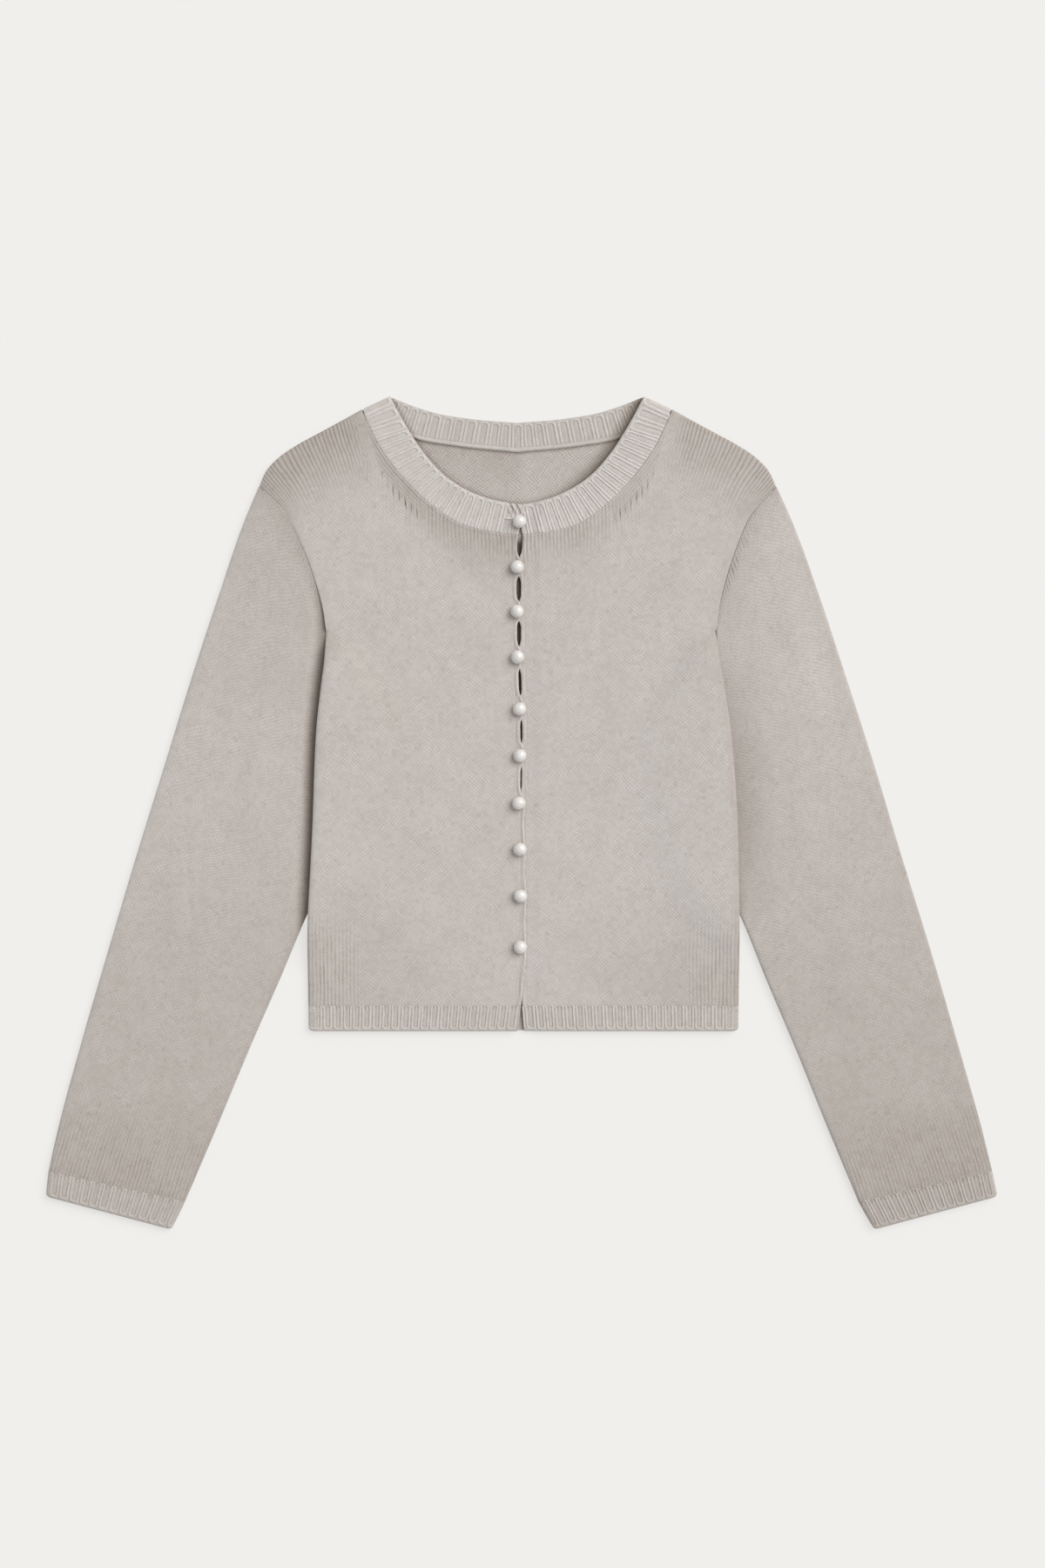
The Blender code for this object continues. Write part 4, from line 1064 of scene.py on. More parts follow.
def sleeve_maps(side, y, down, length, width, shares, up_side):
    """Stitches counted round the tube and down it, the tone with its painted shade and painted rim
    light, and the masks that do not depend on light.
    """
    off = (shares - 0.5) * width
    around = np.hstack([np.where(up_side, off, width - off), 1.5 * width + 0 * off[:, :1]])
    below = np.hstack([down, down[:, :1]])
    along_cap = np.hstack([shares, 1.0]) * ARMHOLE_LENGTH / STRETCHED_WALE
    knit, fan = counted(-below, side * around / WALE, along_cap)
    # painted shade: darker towards the cuff, at the shoulder tip and high on the right sleeve; painted
    # light along the left sleeve's outer fold
    tone = 0.97 - 0.10 * ease((70 - y) / 310) - 0.06 * ease((-230 - y) / 60)
    tone = tone - 0.02 * ease((y - 150) / 100)
    if side == RIGHT:
        tone = tone - 0.04 * ease((y - 60) / 60)
    else:
        painted_rim_light = 0.06 * faded(shares * width, 70) * ease((y - 10) / 120)
        tone = tone + painted_rim_light - 0.02 * ease((-190 - y) / 60)
    marks = MARKS_SHARE[side] * hill(down - 5.5 * ease(down), 3.5)
    masks = {
        "fan_share": 0.45 * faded(down, 14) * up_side,
        "straight": 0.5 * ease((down - length + 90) / 80),
        "marks": marks * ease((y - 125) / 30) * ease((CAP_TOP - y) / 60) * up_side,
        "flat": SMOOTH_SHARE * faded(shares * width, SMOOTH_REACH) * up_side,
    }
    return knit, fan, tone, masks


def sleeve(name, node, side):
    """Relief is creases less the press of the body; the top's tone holds painted light on its plain
    form's slopes and folds, and painted shade beside the body and at the seam.
    """
    cap_rows = fold_steps(CAP_SHARE, CAP_ROWS)[:-1]
    rows = np.concatenate([cap_rows, np.linspace(CAP_SHARE, 1, SLEEVE_ROWS)])
    shares, up_side = tube_shares(CAP_FOLD, TOP_COLUMNS, UNDER_COLUMNS)
    ends, bow = sleeve_plan(side, rows, shares)
    run = ends[1] - ends[0]
    plan = ends[0][:, None] + run[:, None] * shares[:, None] + bow
    half, y = side * (plan[..., 0] - centre(plan[..., 1])), plan[..., 1]
    length = np.hypot(*(0.5 * (ends[0][0] + ends[1][0] - ends[0][-1] - ends[1][-1])))
    down = rows[:, None] * length + 0 * half
    pressed, side_shadow = beside_body(side, half, y)
    top_soft = creased(SLEEVE_CREASES, half, y) - pressed
    low_soft = np.maximum(creased(UNDER_CREASES, half, y), 0)
    relief = np.where(up_side, top_soft, low_soft) * dome(np.minimum(shares, 1 - shares) / CAP_FOLD)
    seam = np.where(up_side, seam_dip(down) + seam_dip(length - down), 0)
    outer, inner = tube_skins(*ends, bow, shares, up_side, (relief + seam, relief))
    base = tube_skins(*ends, bow, shares, up_side, (0 * relief, 0 * relief))[0]

    width = np.linalg.norm(run, axis=-1)[:, None]
    knit, fan, tone, masks = sleeve_maps(side, y, down, length, width, shares, up_side)
    # painted shade along the armhole seam
    seam_shade = 1 - 0.16 * faded(down, 2.5)
    # painted light and shade on the top: evened slopes, shadow beside the body, lighter folds, darker
    # seam
    lit = np.where(up_side, painted_slope_light(base) * (1 - side_shadow) * (1 + 0.14 * masks["flat"]) * seam_shade, 1.0)
    points = {title: (values, 0.0) for title, values in masks.items()}
    points["tone"] = (tone * lit, tone * INSIDE_TONE)
    piece = wall(name, outer, inner, (FACE, REVERSE), knit, fan, points, ring=True)
    dress(piece, node)


sleeve("right_sleeve_knit", "sleeve_right", RIGHT)
sleeve("left_sleeve_knit", "sleeve_left", LEFT)

# %% [markdown]
# ## Ribs
#
# The ribbing is a row of flat sunken columns. Each is outlined by a thin raised line of loops
# that turns round its end at the free edge like a U, and between two columns runs a narrow
# groove. At the other end, where the plain knit starts, the lines close in a small knot. All of
# this is one height: the distance to a rounded U, put through two bell curves. The same bells
# give painted light for the colour: the lines and knots lighter, and the sunken edges, grooves
# and the pits beside the knots darker, as painted shade.

# %% Rib relief
LINE_HEIGHT, LINE_WIDTH, LINE_OFF = 0.58, 0.78, 1.4
SUNK, SUNK_OFF, SUNK_WIDTH = 0.32, 1.2, 0.6  # the sunken edge of a column, inside its line
GROOVE, END_ROOM = 0.25, 2.2
RIB_CREST = 0.78  # where in each rib's pitch its pair of lines is
KNOT_AT = 2.0  # how far below the seam the knots are
FINE_STEP, FINE_TOP, FINE_FOOT, MIDDLE_ROWS = 0.6, 4.2, 5.4, 12  # a band's close and wide rows


def rib_height(along, to_edge, to_seam, pitch, knots=True):
    """Bells of the distance to a rounded U: a line on it, a sunken edge inside; along is in ribs.
    It also returns painted rib light: lighter lines and knots, darker sunken edges, grooves and pits.
    """
    along = along + 0.05 * np.sin(1.7 * along)
    off = ((along - RIB_CREST + 0.5) % 1 - 0.5) * pitch
    from_column = pitch / 2 - np.abs(off)
    reach = pitch / 2 - LINE_OFF
    corner = 0.85 * reach
    out_x, out_e = from_column - (reach - corner), END_ROOM + corner - to_edge
    rounded = np.hypot(np.maximum(out_x, 0), np.maximum(out_e, 0)) - corner
    distance = np.maximum(rounded, np.maximum(from_column - reach, END_ROOM - to_edge))
    distance = np.where((out_x > 0) & (out_e > 0), rounded, distance)
    line, groove = hill(distance, LINE_WIDTH), hill(off, 0.5)
    sunk = hill(distance + SUNK_OFF, SUNK_WIDTH)
    height = LINE_HEIGHT * line - SUNK * sunk - GROOVE * groove * ease(to_edge / END_ROOM)
    # painted light: lines and knots lighter, sunken edges, grooves and pits darker
    painted_rib_light = line - 0.5 * sunk - 0.3 * groove
    if knots:
        knot = hill(np.hypot(from_column, to_seam - KNOT_AT), 0.85)
        pit = hill(np.hypot(from_column / 1.8, (to_seam - KNOT_AT + 0.8)), 1.1) * (1 - knot)
        height, painted_rib_light = height + 0.7 * knot - 0.6 * pit, painted_rib_light + 1.1 * knot - 1.6 * pit
    return height * ease(to_edge / 1.2) * ease(to_seam / 1.2), painted_rib_light


def band_rows(width):
    """Distances from the seam to the free edge, close together at both ends."""
    fine = np.arange(0, FINE_TOP, FINE_STEP)
    middle = np.linspace(FINE_TOP, width - FINE_FOOT, MIDDLE_ROWS)
    return np.concatenate([fine, middle[:-1], width - np.arange(FINE_FOOT, -0.01, -FINE_STEP)])


def rim_round(to_edge):
    """How much of the wall's half thickness is gone, over 1.5 mm at the free edge."""
    return 0.55 * WALL * (1 - dome(to_edge / 1.5)) * 0.8


# %% The hem bands
HEM_RIBS, RIB_COLUMNS, CORNER = 21, 22, 3.0
RIB_WALE = 2.2  # width of a stitch in the ribbing
HEM_TONE = 0.945
UNDER_SEAM = 0.2  # how far a band reaches into its seam, so that no light comes through


def hem_grid(inner_edge, end_y, inset, shares):
    """Rows down the band; its side columns fold, and its corners are rounded off."""
    top = HEM_SEAM + UNDER_SEAM
    down = band_rows(top - end_y)[:, None]
    rows = top - down
    half = smooth(BODY_SIDE, 1, rows)
    folded = fold_steps(FOLD, FOLD_STEPS)[:-1]
    plan_half = np.hstack([half - folded, between(half - FOLD, inner_edge(rows), shares)])
    near = np.concatenate([folded / FOLD, np.ones(len(shares))])
    share_down = down / (top - end_y)
    corner = CORNER * (1 - dome(near)) * share_down**2
    plan = together(plan_half - inset * rest(near), rows + corner)
    return plan, dome(near) + 0 * plan_half, down + 0 * plan_half, len(folded)


def hem_band(name, node, side):
    """Ribs counted from the fold to the front edge; the outer skin carries them."""
    inner_edge = partial(edge_half, side)
    shares = np.linspace(0, 1, HEM_RIBS * RIB_COLUMNS + 1)
    skins = []
    for low in (0.0, WALL):
        plan, full, down, folded = hem_grid(inner_edge, HEM_END, low, shares)
        skin = stand(side, plan, upper_height(plan, full, low))
        skin[..., 2] -= dip(side, skin[..., 0])
        # painted light that evens out the key's shading on the slopes
        slope_light = painted_slope_light(skin)
        to_edge = down.max() - down
        edge = plan[..., 0] - inner_edge(plan[..., 1])
        rib = np.concatenate([np.full(folded, 0.3), shares * HEM_RIBS]) + 0 * down
        pitch = (plan[..., 0].max() - FOLD) / HEM_RIBS
        # line is the painted rib light
        height, line = rib_height(rib, to_edge, down, pitch)
        notch = rim_round(np.minimum(to_edge, edge + 0.4)) + 0 * down
        skin[..., 2] += height * full - notch if not low else notch * 0.6
        if not low:
            skin[..., 2] += 0.5 * seam_dip(down)
            outer_plan, painted_light, outer_slope_light = plan, line * full, slope_light
        skins.append(skin)
    half, y = outer_plan[..., 0], outer_plan[..., 1]
    knit, fan = counted(y, side * half / RIB_WALE, rib)
    points = {"tone": (HEM_TONE * outer_slope_light, HEM_TONE * INSIDE_TONE), "painted_light": (painted_light, 0.0)}
    piece = wall(name, skins[0], skins[1], (RIBBING, RIBBING), knit, fan, points)
    dress(piece, node)


hem_band("right_hem_rib", "hem_right", RIGHT)
hem_band("left_hem_rib", "hem_left", LEFT)

# %% The back's hem band, whose ribs are pressed flat against the surface
BACK_HEM_COLUMNS, BACK_HEM_PITCH = 61, 8.6


def hem_back_band():
    """Both halves in one piece; the surface presses it flat, so its ribs are only drawn."""
    halves = []
    shares = np.linspace(0, 1, BACK_HEM_COLUMNS)
    for side in (RIGHT, LEFT):
        skins = []
        for low in (0.0, WALL):
            plan, full, down, _ = hem_grid(np.zeros_like, HEM_END + 0.5, low, shares)
            notch = rim_round(down.max() - down)
            height = under_height(plan, full, low) + np.where(full > 0.99, (1 - low) * 0.5 * notch, 0)
            skins.append(stand(side, plan, height))
            if not low:
                half, y = plan[..., 0], plan[..., 1]
                maps = counted(y, side * half / RIB_WALE, half / BACK_HEM_PITCH)
        halves.append(skins + maps)
    outer, inner, knit, fan = (joined(right, left) for right, left in zip(*halves))
    points = {"tone": (1.0, 0.92), "fan_share": (0.9, 0.5)}
    piece = wall("back_hem_rib", outer, inner, (RIBBING, RIBBING), knit, fan, points)
    dress(piece, "hem_back")


hem_back_band()

# %% The cuffs
CUFF_RIBS, CUFF_UNDER_COLUMNS = 12, 40
CUFF_PITCH = 9.4  # of the ribs underneath, which are drawn and not raised
CUFF_TONE = {RIGHT: 0.865, LEFT: 0.815}


def cuff(name, node, side):
    """A short tube below the sleeve; its ribs run down it and close before its free edge."""
    top = between(CAP_FOLD, 1 - CAP_FOLD, np.linspace(0, 1, CUFF_RIBS * RIB_COLUMNS + 1))
    folded = fold_steps(CAP_FOLD, FOLD_STEPS)[:-1]
    under = np.linspace(CAP_FOLD, 1 - CAP_FOLD, CUFF_UNDER_COLUMNS)
    low = np.concatenate([folded[1:], under, 1 - folded[::-1][:-1]])
    shares = np.concatenate([folded, top, 1 - folded[::-1], low[::-1]])
    up_side = np.arange(len(shares)) < len(folded) * 2 + len(top)
    seams = [np.array([t[0].centre + side * t[0].half, t[0].y]) for t in (SLEEVE_OUTER, SLEEVE_INNER)]
    tips = [np.array([t.centre + side * t.half, t.y]) for t in (CUFF_OUTER_END, CUFF_INNER_END)]
    length = np.linalg.norm(seams[0] - tips[0])
    down = band_rows(length + UNDER_SEAM)
    along = ((down - UNDER_SEAM) / length)[:, None]
    ends = [between(seam, tip, along) for seam, tip in zip(seams, tips)]
    near = np.minimum(shares, 1 - shares) / CAP_FOLD
    back_up = (seams[0] - tips[0]) / length
    bow = (CORNER * (1 - dome(near))[:, None] * back_up) * (along**2)[..., None]
    down = down[:, None] + 0 * shares
    to_edge = down.max() - down
    width = np.linalg.norm(ends[1] - ends[0], axis=-1).mean() * (1 - 2 * CAP_FOLD)
    rib = (shares - CAP_FOLD) / (1 - 2 * CAP_FOLD) * CUFF_RIBS
    # line is the painted rib light
    height, line = rib_height(rib + 0 * down, to_edge, down, width / CUFF_RIBS)
    notch = rim_round(to_edge)
    up = np.where(up_side, height * dome(near) - notch * dome(near) + 0.5 * seam_dip(down), 0.0)
    in_up = np.where(up_side, 0.5 * notch, 0.0)
    outer, inner = tube_skins(*ends, bow, shares, up_side, (up, in_up))
    off = (shares - 0.5) * width
    around = np.where(up_side, off, width - off)
    below = np.hstack([down, down[:, :1]])
    around = np.append(around, around[0] + 2 * width)
    knit, fan = counted(-below, side * around / RIB_WALE, around / CUFF_PITCH)
    points = {
        "tone": (CUFF_TONE[side], CUFF_TONE[side] * INSIDE_TONE),
        "painted_light": (line * up_side * dome(near), 0.0),
        "fan_share": (np.where(up_side, 0.0, 0.8), 0.0),
    }
    piece = wall(name, outer, inner, (RIBBING, RIBBING), knit, fan, points, ring=True)
    dress(piece, node)


cuff("right_cuff_rib", "cuff_right", RIGHT)
cuff("left_cuff_rib", "cuff_left", LEFT)

# %% [markdown]
# ## The neckband
#
# The neckband is one strip of ribbing. It runs from the right front's edge over the shoulder,
# round the back of the neck and down to the left front's edge. On the fronts its right side is
# up. At each shoulder it turns over, so that at the back its wrong side shows, with its ribs and
# with the rolled seam where it was linked to the back.

# %% Plan of the neckband
BAND_GAP, FOLD_GAP, BAND_FOLD = -0.2, 1.6, 4.0
FRONT_TURN, BACK_TURN, EDGE_REACH = 0.035, 0.085, 0.35
FRONT_RIBS, TURN_RIBS, BACK_RIBS = 18, 1.3, 12  # on a front, over the shoulder and on half the back
FRONT_COUNT, BACK_COUNT = FRONT_RIBS * RIB_COLUMNS + 1, BACK_RIBS * RIB_COLUMNS + 1
TURN_ANGLES = np.radians(np.linspace(0, 180, 27)[1:-1])
BAND_WIDTH, NECK_PITCH, FRONT_LENGTH = 26.0, 8.9, 162.0
FRONT_LEAN, BACK_LEAN = 0.055, -0.1  # how far on the free edge is, so that the ribs run square to it


def neckline(panel, middle):
    """A panel's edge from the shoulder's neck point to the middle, and the share of each point."""
    plan, _, _, _, place = body_grid(panel, middle, 0.0)
    on_neck = place[-1] >= CORNER_KNOT
    return plan[-1, on_neck], neck_shares(panel, place[-1])[on_neck]


def flat_band(band, edge, edge_shares, shares, across, shift, lean):
    """Points from the seam to the free edge at each share; across is 0 at the seam."""
    seam = together(*(np.interp(shares, edge_shares, edge[:, axis]) for axis in (0, 1)))
    free_shares = shares + lean * ease(shares / 0.15) * ease((0.95 - shares) / 0.65)
    free = together(smooth(band, 3, free_shares) + shift, smooth(band, 4, free_shares))
    way = (free - seam) / np.linalg.norm(free - seam, axis=-1, keepdims=True)
    seam = seam + BAND_GAP * way
    return between(seam[:, None], free[:, None], across[:, None])


def turned_band(angles, before, after, across):
    """The rows over the shoulder: half an ellipse from the front layer round to the back one."""
    seam = np.array([FRONT_BAND[0].seam_half, FRONT_BAND[0].seam_y])
    free = np.array([FRONT_BAND[0].free_half, FRONT_BAND[0].free_y])
    seam = seam + FOLD_GAP * (free - seam) / np.linalg.norm(free - seam)
    line = between(seam, free, across[:, None]) + INWARD * WALL / 2
    sweep = np.sin(angles)[:, None, None]
    plan = between(np.where(angles[:, None, None] < np.pi / 2, before, after), line, sweep)
    rise = (DEPTH - WALL) / 2
    facing = together(rise * np.sin(angles), BAND_FOLD * np.cos(angles))
    facing = facing / np.linalg.norm(facing, axis=-1, keepdims=True)
    return plan, DEPTH / 2 + rise * np.cos(angles), facing


# %% A half of the neckband, from the front edge to the middle of the back
SEAM_ROLL = 1.4  # height of the linked seam inside the back of the neck
BAND_TONE, BAND_INSIDE_TONE = 1.07, 0.96
# painted shade of the small creases pulled above the first button: its depth and pitch
CREASE_SHADE_DEPTH, CREASE_SHADE_PITCH = 0.6, 5.0  # the dark strokes of the pulled cloth above the first button


def half_band_plan(side, across):
    """Plan and height of the wall's middle, which way it faces, and how far it belongs to the front."""
    shares = np.linspace(1.0, FRONT_TURN, FRONT_COUNT)
    shift = edge_half(side, FRONT_BAND[-1].free_y) * rest((1 - shares) / EDGE_REACH) ** 2
    edge = neckline(FRONT, partial(edge_half, side))
    front = flat_band(FRONT_BAND, *edge, shares, across, shift, FRONT_LEAN)
    shares, edge = np.linspace(BACK_TURN, 1.0, BACK_COUNT), neckline(BACK, np.zeros_like)
    back = flat_band(BACK_BAND, *edge, shares, across, 0.0, BACK_LEAN)
    turn, turn_z, facing = turned_band(TURN_ANGLES, front[-1], back[0], across)
    ahead, behind = np.ones(FRONT_COUNT), np.ones(BACK_COUNT)
    height = np.concatenate([ahead * (DEPTH - WALL / 2), turn_z, behind * WALL / 2])
    out = np.concatenate([0 * ahead, facing[:, 0], 0 * behind])
    up = np.concatenate([ahead, facing[:, 1], -behind])
    fronted = np.concatenate([ahead, 0.5 + 0.5 * np.cos(TURN_ANGLES), 0 * behind])
    columns = (column[:, None] for column in (height, out, up, fronted))
    return np.concatenate([front, turn, back]), *columns


def painted_crease_shade(skin):
    """Painted crease shade: crests of a cosine that runs aslant, within a patch above the first button.
    """
    past, above = skin[..., 0] - BUTTONS[0].x, skin[..., 1] - BUTTONS[0].y
    patch = ease((past + 12) / 4) * ease((5 - past) / 4) * ease((above - 5) / 3)
    return patch * np.cos((past + 0.5 * above) * TURN / CREASE_SHADE_PITCH).clip(0)


def half_band(side):
    """Skins, painted rib light, maps and tones: ribs in front, and behind them the linked roll."""
    down = band_rows(BAND_WIDTH)
    plan, height, out, up, fronted = half_band_plan(side, down / BAND_WIDTH)
    rib = np.concatenate([
        np.linspace(0, FRONT_RIBS, FRONT_COUNT),
        FRONT_RIBS + np.linspace(0, TURN_RIBS, len(TURN_ANGLES)),
        FRONT_RIBS + TURN_RIBS + np.linspace(0, BACK_RIBS, BACK_COUNT),
    ])[:, None] + 0 * down
    to_edge = BAND_WIDTH - down + 0 * rib
    past_end = np.linspace(0, FRONT_LENGTH, FRONT_COUNT)
    past_end = np.append(past_end, np.full(len(rib) - FRONT_COUNT, FRONT_LENGTH))[:, None]
    # lines is the rib height, line the painted rib light
    lines, line = rib_height(rib, to_edge, down + 0 * rib, NECK_PITCH, knots=False)
    past_roll = between(ease((down - 3.4) / 1.4), 1.0, fronted)
    lines, line = lines * past_roll, line * past_roll
    notch = rim_round(np.minimum(to_edge, past_end))
    shown = ease((past_end - 1.5) / 3)
    roll = SEAM_ROLL * hill(down - 1.6, 1.5)
    skins, masks = [], []
    for sign, ribbed in ((1, fronted), (-1, 1 - fronted)):
        extra = lines * ribbed * shown - notch
        if sign == -1:
            extra = (extra + roll * ribbed) * np.where(fronted > 0.9, 0.3, 1.0)
        else:
            extra = extra * np.where(fronted < 0.1, 0.0, 1.0) + seam_dip(down) * fronted
        moved = plan - sign * (out * (WALL / 2 + 0 * down))[..., None] * INWARD
        skin = stand(side, moved, height + sign * up * (WALL / 2 + extra))
        skin[..., 2] -= dip(side, skin[..., 0]) * (fronted == 1)
        skins.append(skin)
        masks.append(line * ribbed * shown)
    length = np.append([0], np.cumsum(np.linalg.norm(np.diff(plan.mean(1), axis=0), axis=-1)))[:, None]
    knit, fan = counted(-down, side * length / RIB_WALE, rib)
    # painted crease shade above the first button
    tone = BAND_TONE - CREASE_SHADE_DEPTH * painted_crease_shade(skins[0]) * (fronted == 1) * (side == RIGHT)
    # painted light on the linked seam's roll, and painted shadow just past it
    tone_inside = BAND_INSIDE_TONE + 0.07 * hill(down - 1.8, 1.6) - 0.08 * hill(down - 4.2, 0.8)
    # painted shadow of the front neckband inside the neck
    tone_inside = tone_inside * (1 - painted_neck_shadow(skins[1][..., 0], skins[1][..., 1]) * (1 - fronted))
    return *skins, *masks, knit, fan, tone, tone_inside + 0 * rib


# %% The neckband in one piece
def neckband():
    """The right half, then the left one backwards, in one wall."""
    halves = zip(half_band(RIGHT), half_band(LEFT))
    outer, inner, *values = (joined(*pair, axis=0) for pair in halves)
    painted_light, painted_light_inside, knit, fan, tone, tone_inside = values
    points = {"tone": (tone, tone_inside), "painted_light": (painted_light, painted_light_inside)}
    piece = wall("neckband_rib", outer, inner, (RIBBING, RIBBING), knit, fan, points)
    dress(piece, "neckband")


neckband()

# %% [markdown]
# ## Pearl buttons
#
# A pearl button is nearly a ball on a short shank. It is a turned shape, so one outline is swept
# round the button's axis on a grid. The pearl's colour drifts between white and a faint beige.
# Where it is seen edge on it turns to a darker, warmer beige, a painted reflection of the wool
# with painted shade at the rim, and a thin coat gives it its soft highlight.

# %% Pearl
PEARL_RADIUS, PEARL_HEIGHT, PEARL_STAND, BELLY = 5.75, 8.4, 0.1, 0.4
PEARL_TOP_ANGLE, PEARL_FOOT_ANGLE, PEARL_RINGS, PEARL_SIDES = 89.0, -62.0, 26, 40
SHANK_RADIUS = 1.0


def drifting(name, scale, colours):
    """A new material, its noise, and a colour that follows the noise from 0.3 to 0.75."""
    made = new_look(name)
    tree = made.node_tree
    place = tree.nodes.new("ShaderNodeTexCoord").outputs["Object"]
    drift = noise(tree, place, scale, 3.0).outputs["Fac"]
    ramp = tree.nodes.new("ShaderNodeValToRGB")
    for stop, at, colour in zip(ramp.color_ramp.elements, (0.3, 0.75), colours):
        stop.position, stop.color = at, (*colour, 1)
    tree.links.new(drift, ramp.inputs["Fac"])
    return made, drift, ramp.outputs["Color"]


def pearl_look():
    """The drifting colour, mixed by half the share that Layer Weight calls Facing towards a darker
    beige: painted reflection of the wool and painted shade at the rim.
    """
    made, _, colour = drifting("pearl", 160.0, ((0.73, 0.71, 0.69), (0.84, 0.83, 0.82)))
    tree, shader = made.node_tree, made.node_tree.nodes["Principled BSDF"]
    settle(shader, Roughness=0.3, Coat_Weight=0.9, Coat_Roughness=0.15)
    settle(shader, Subsurface_Weight=0.7, Subsurface_Radius=(1.0, 1.0, 1.0), Subsurface_Scale=0.003)
    # painted reflection of the wool and painted shade at the pearl's rim
    edge = tree.nodes.new("ShaderNodeLayerWeight")
    edge.inputs["Blend"].default_value = 0.35
    rim = tree.nodes.new("ShaderNodeMix")
    rim.data_type = "RGBA"
    rim.inputs[7].default_value = (0.52, 0.44, 0.38, 1)
    tree.links.new(maths(tree, "MULTIPLY", edge.outputs["Facing"], 0.5), rim.inputs[0])
    tree.links.new(colour, rim.inputs[6])
    tree.links.new(rim.outputs[2], shader.inputs["Base Color"])
    return made


PEARL = pearl_look()


def swept(name, rings, look, flip=False):
    """A closed skin on rings of points in millimetres, with a flat face at both ends."""
    index = np.arange(rings[..., 0].size).reshape(rings.shape[:2])
    index = np.hstack([index, index[:, :1]])
    quads = together(index[:-1, :-1], index[:-1, 1:], index[1:, 1:], index[1:, :-1])
    faces = quads.reshape(-1, 4).tolist() + [index[0, -2::-1].tolist(), index[-1, :-1].tolist()]
    mesh = bpy.data.meshes.new(name)
    places = (rings.reshape(-1, 3) - MIDDLE_SHIFT) * MM
    mesh.from_pydata(places, [], [face[::-1] if flip else face for face in faces])
    mesh.materials.append(look)
    mesh.shade_smooth()
    return placed(name, mesh)


def pearl(number, button):
    """Radius = belly radius times cosine, height = belly plus reach times sine, swept round."""
    foot = DEPTH + PEARL_STAND
    angles = np.radians(np.linspace(PEARL_TOP_ANGLE, PEARL_FOOT_ANGLE, PEARL_RINGS))
    reach = np.where(angles > 0, PEARL_HEIGHT * (1 - BELLY), PEARL_HEIGHT * BELLY)
    height = foot + PEARL_HEIGHT * BELLY + reach * np.sin(angles)
    under_cloth = DEPTH - DIP + SEAM
    radius = np.append(PEARL_RADIUS * np.cos(angles), [SHANK_RADIUS, SHANK_RADIUS, 0.05])
    height = np.append(height, [foot, under_cloth, under_cloth])[:, None]
    turn = np.linspace(0, TURN, PEARL_SIDES, endpoint=False)
    lump = 1 + 0.012 * np.sin(2 * turn + number) + 0.008 * np.sin(3 * turn + 2 * number)
    x = button.x + radius[:, None] * np.cos(turn) * lump
    y = button.y + radius[:, None] * np.sin(turn) * lump
    piece = swept(f"pearl_{number:02d}", together(x, y, height), PEARL, flip=True)
    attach(piece, "root")
    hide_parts(f"button_{number:02d}")


for number, button in enumerate(BUTTONS, 1):
    pearl(number, button)
print(len(BUTTONS), "pearls")

# %% [markdown]
# ## The bar stitch
#
# The first buttonhole ends in a short bar of doubled yarn, which shows beside the pearl. It is a
# thread that tapers to both ends, swept round like the pearl, in yarn that catches more light.

# %% The bar stitch at the end of the first buttonhole
BAR_LENGTH, BAR_WIDTH, BAR_RISE = 8.5, 1.7, 0.9
BAR_PLACE = (-10.2, 249.8, DEPTH + 0.35)
BAR_RINGS, BAR_SIDES = 17, 12


def yarn_look():
    """Doubled yarn, paler than the knit, with its fibres as bump."""
    made, fibres, colour = drifting("buttonhole yarn", 700.0, ((0.60, 0.56, 0.53), (0.80, 0.76, 0.72)))
    tree, shader = made.node_tree, made.node_tree.nodes["Principled BSDF"]
    settle(shader, Roughness=0.9, Specular_IOR_Level=0.25, Sheen_Weight=0.4)
    relief = tree.nodes.new("ShaderNodeBump")
    settle(relief, Strength=0.6, Distance=0.0003)
    tree.links.new(fibres, relief.inputs["Height"])
    tree.links.new(relief.outputs[0], shader.inputs["Normal"])
    tree.links.new(colour, shader.inputs["Base Color"])
    return made


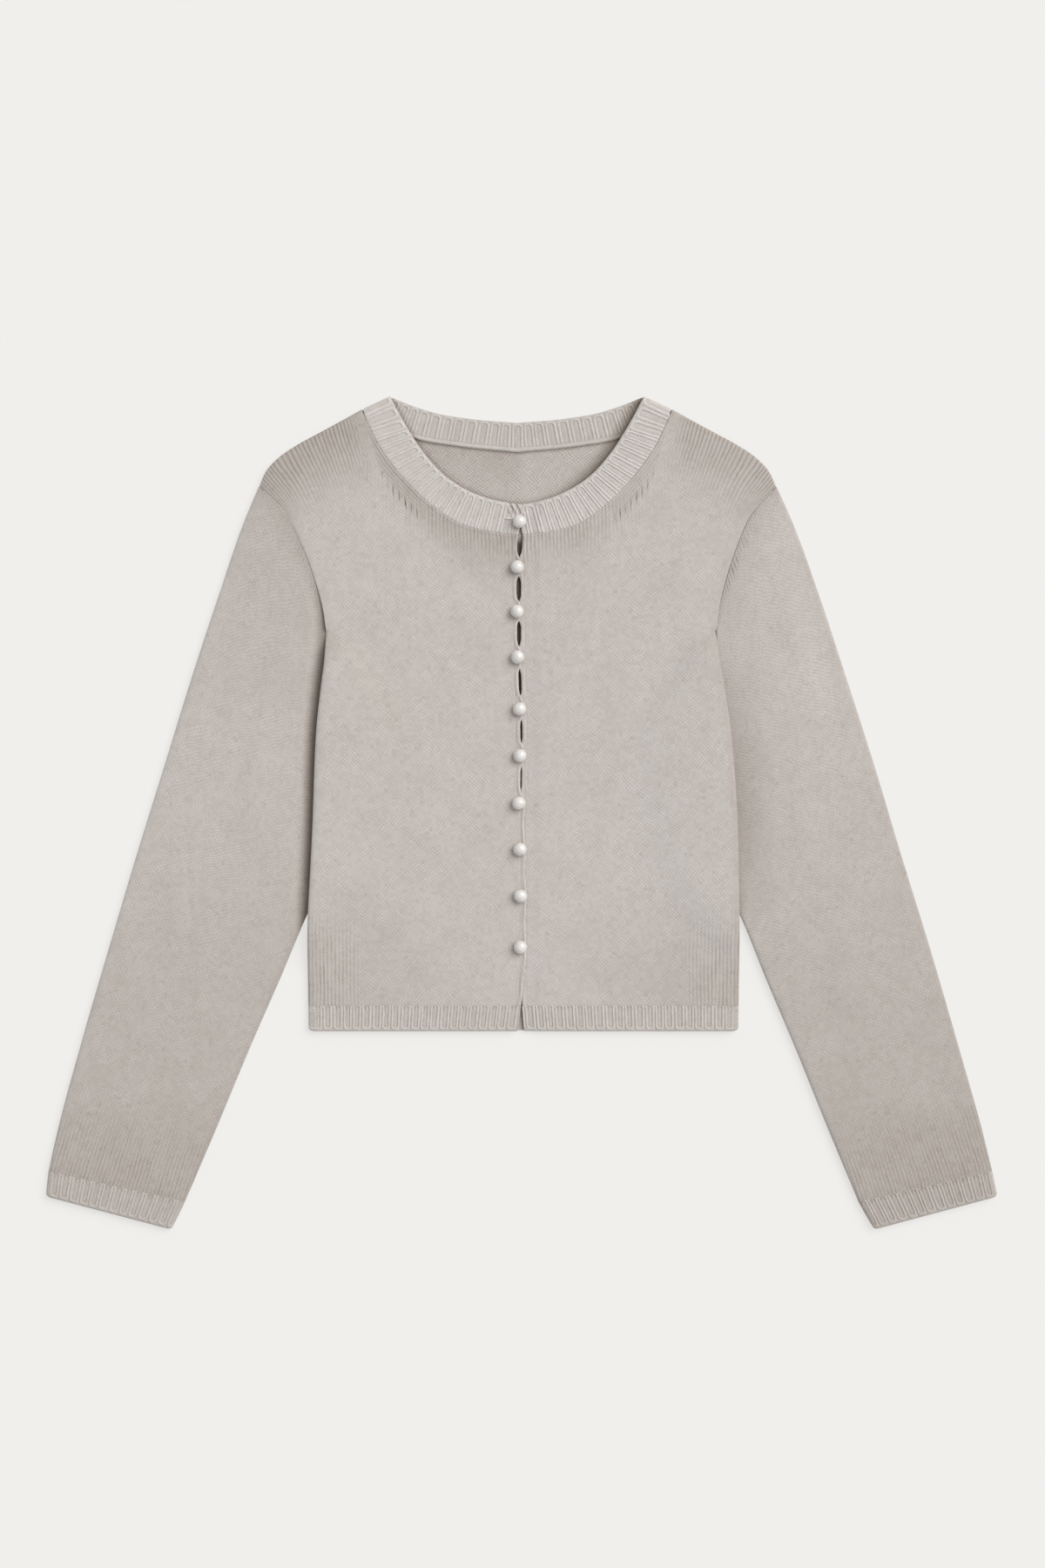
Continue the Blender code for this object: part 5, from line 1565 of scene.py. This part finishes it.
def bar_stitch():
    """A thread that tapers to both ends: radius = half width times the root of 1 - share squared."""
    along = np.sin(np.radians(np.linspace(-88, 88, BAR_RINGS)))[:, None]
    turn = np.linspace(0, TURN, BAR_SIDES, endpoint=False)
    size = np.sqrt(1 - along**2)
    x = BAR_PLACE[0] + 0.5 * BAR_LENGTH * along
    y = BAR_PLACE[1] + 0.5 * BAR_WIDTH * size * np.cos(turn)
    z = BAR_PLACE[2] + BAR_RISE * size * np.sin(turn)
    piece = swept("bar_stitch", together(x, y, z), yarn_look())
    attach(piece, "root")
    print(piece.name, "is", BAR_LENGTH, "mm long")


bar_stitch()

# %% [markdown]
# ## Floor, light and camera
#
# The cardigan lies on a white table that is lit from inside, as for a catalogue, so it throws
# almost no shadow on it. Half of the light comes from all round, and half from a key at the upper
# right, which gives the shadows beside the body, under the neckband and beside each pearl. Painted
# shadow in the wool's tone deepens those beside the body and under the neckband. The camera looks
# straight down from far off.

# %% Floor
PAPER = (1.005, 0.996, 0.977)
PAPER_SHARE, PAPER_GLOW = 0.24, 0.632  # how much light it gives back, and how much it gives itself
floor_look = new_look("lit white table")
table = floor_look.node_tree.nodes["Principled BSDF"]
settle(table, Base_Color=(*(PAPER_SHARE * part for part in PAPER), 1), Roughness=0.9)
settle(table, Specular_IOR_Level=0.0, Emission_Color=(*PAPER, 1), Emission_Strength=PAPER_GLOW)
floor.data.materials.append(floor_look)

# %% Light
ROOM_LIGHT, KEY_LIGHT = 0.50, 2.14
KEY_WIDTH, KEY_TURN = 46, (-24, 38, 0)  # degrees
world = bpy.data.worlds.new("soft room")
world.use_nodes = True
settle(world.node_tree.nodes["Background"], Color=(1.0, 0.995, 0.985, 1), Strength=ROOM_LIGHT)
bpy.context.scene.world = world
key = bpy.data.lights.new("key", "SUN")
key.energy, key.angle, key.color = KEY_LIGHT, np.radians(KEY_WIDTH), (1.0, 0.99, 0.975)
placed("key", key).rotation_euler = np.radians(KEY_TURN)
bpy.context.scene.view_settings.view_transform = "Standard"
print("key light energy", round(key.energy, 2), "from the upper right")

# %% Camera
CAMERA_UP, CLOTH_UP = 2.6, 0.007  # metres
SEEN_HEIGHT, SEEN_X, SEEN_Y = 1.332, 0.00086, 0.0244
camera = bpy.data.cameras.new("camera")
camera.sensor_width, camera.sensor_fit = 36.0, "AUTO"
camera.lens = camera.sensor_width * (CAMERA_UP - CLOTH_UP) / SEEN_HEIGHT
camera_object = placed("camera", camera)
camera_object.location = (SEEN_X, SEEN_Y, CAMERA_UP)
bpy.context.scene.camera = camera_object
print("lens", round(camera.lens, 1), "mm")
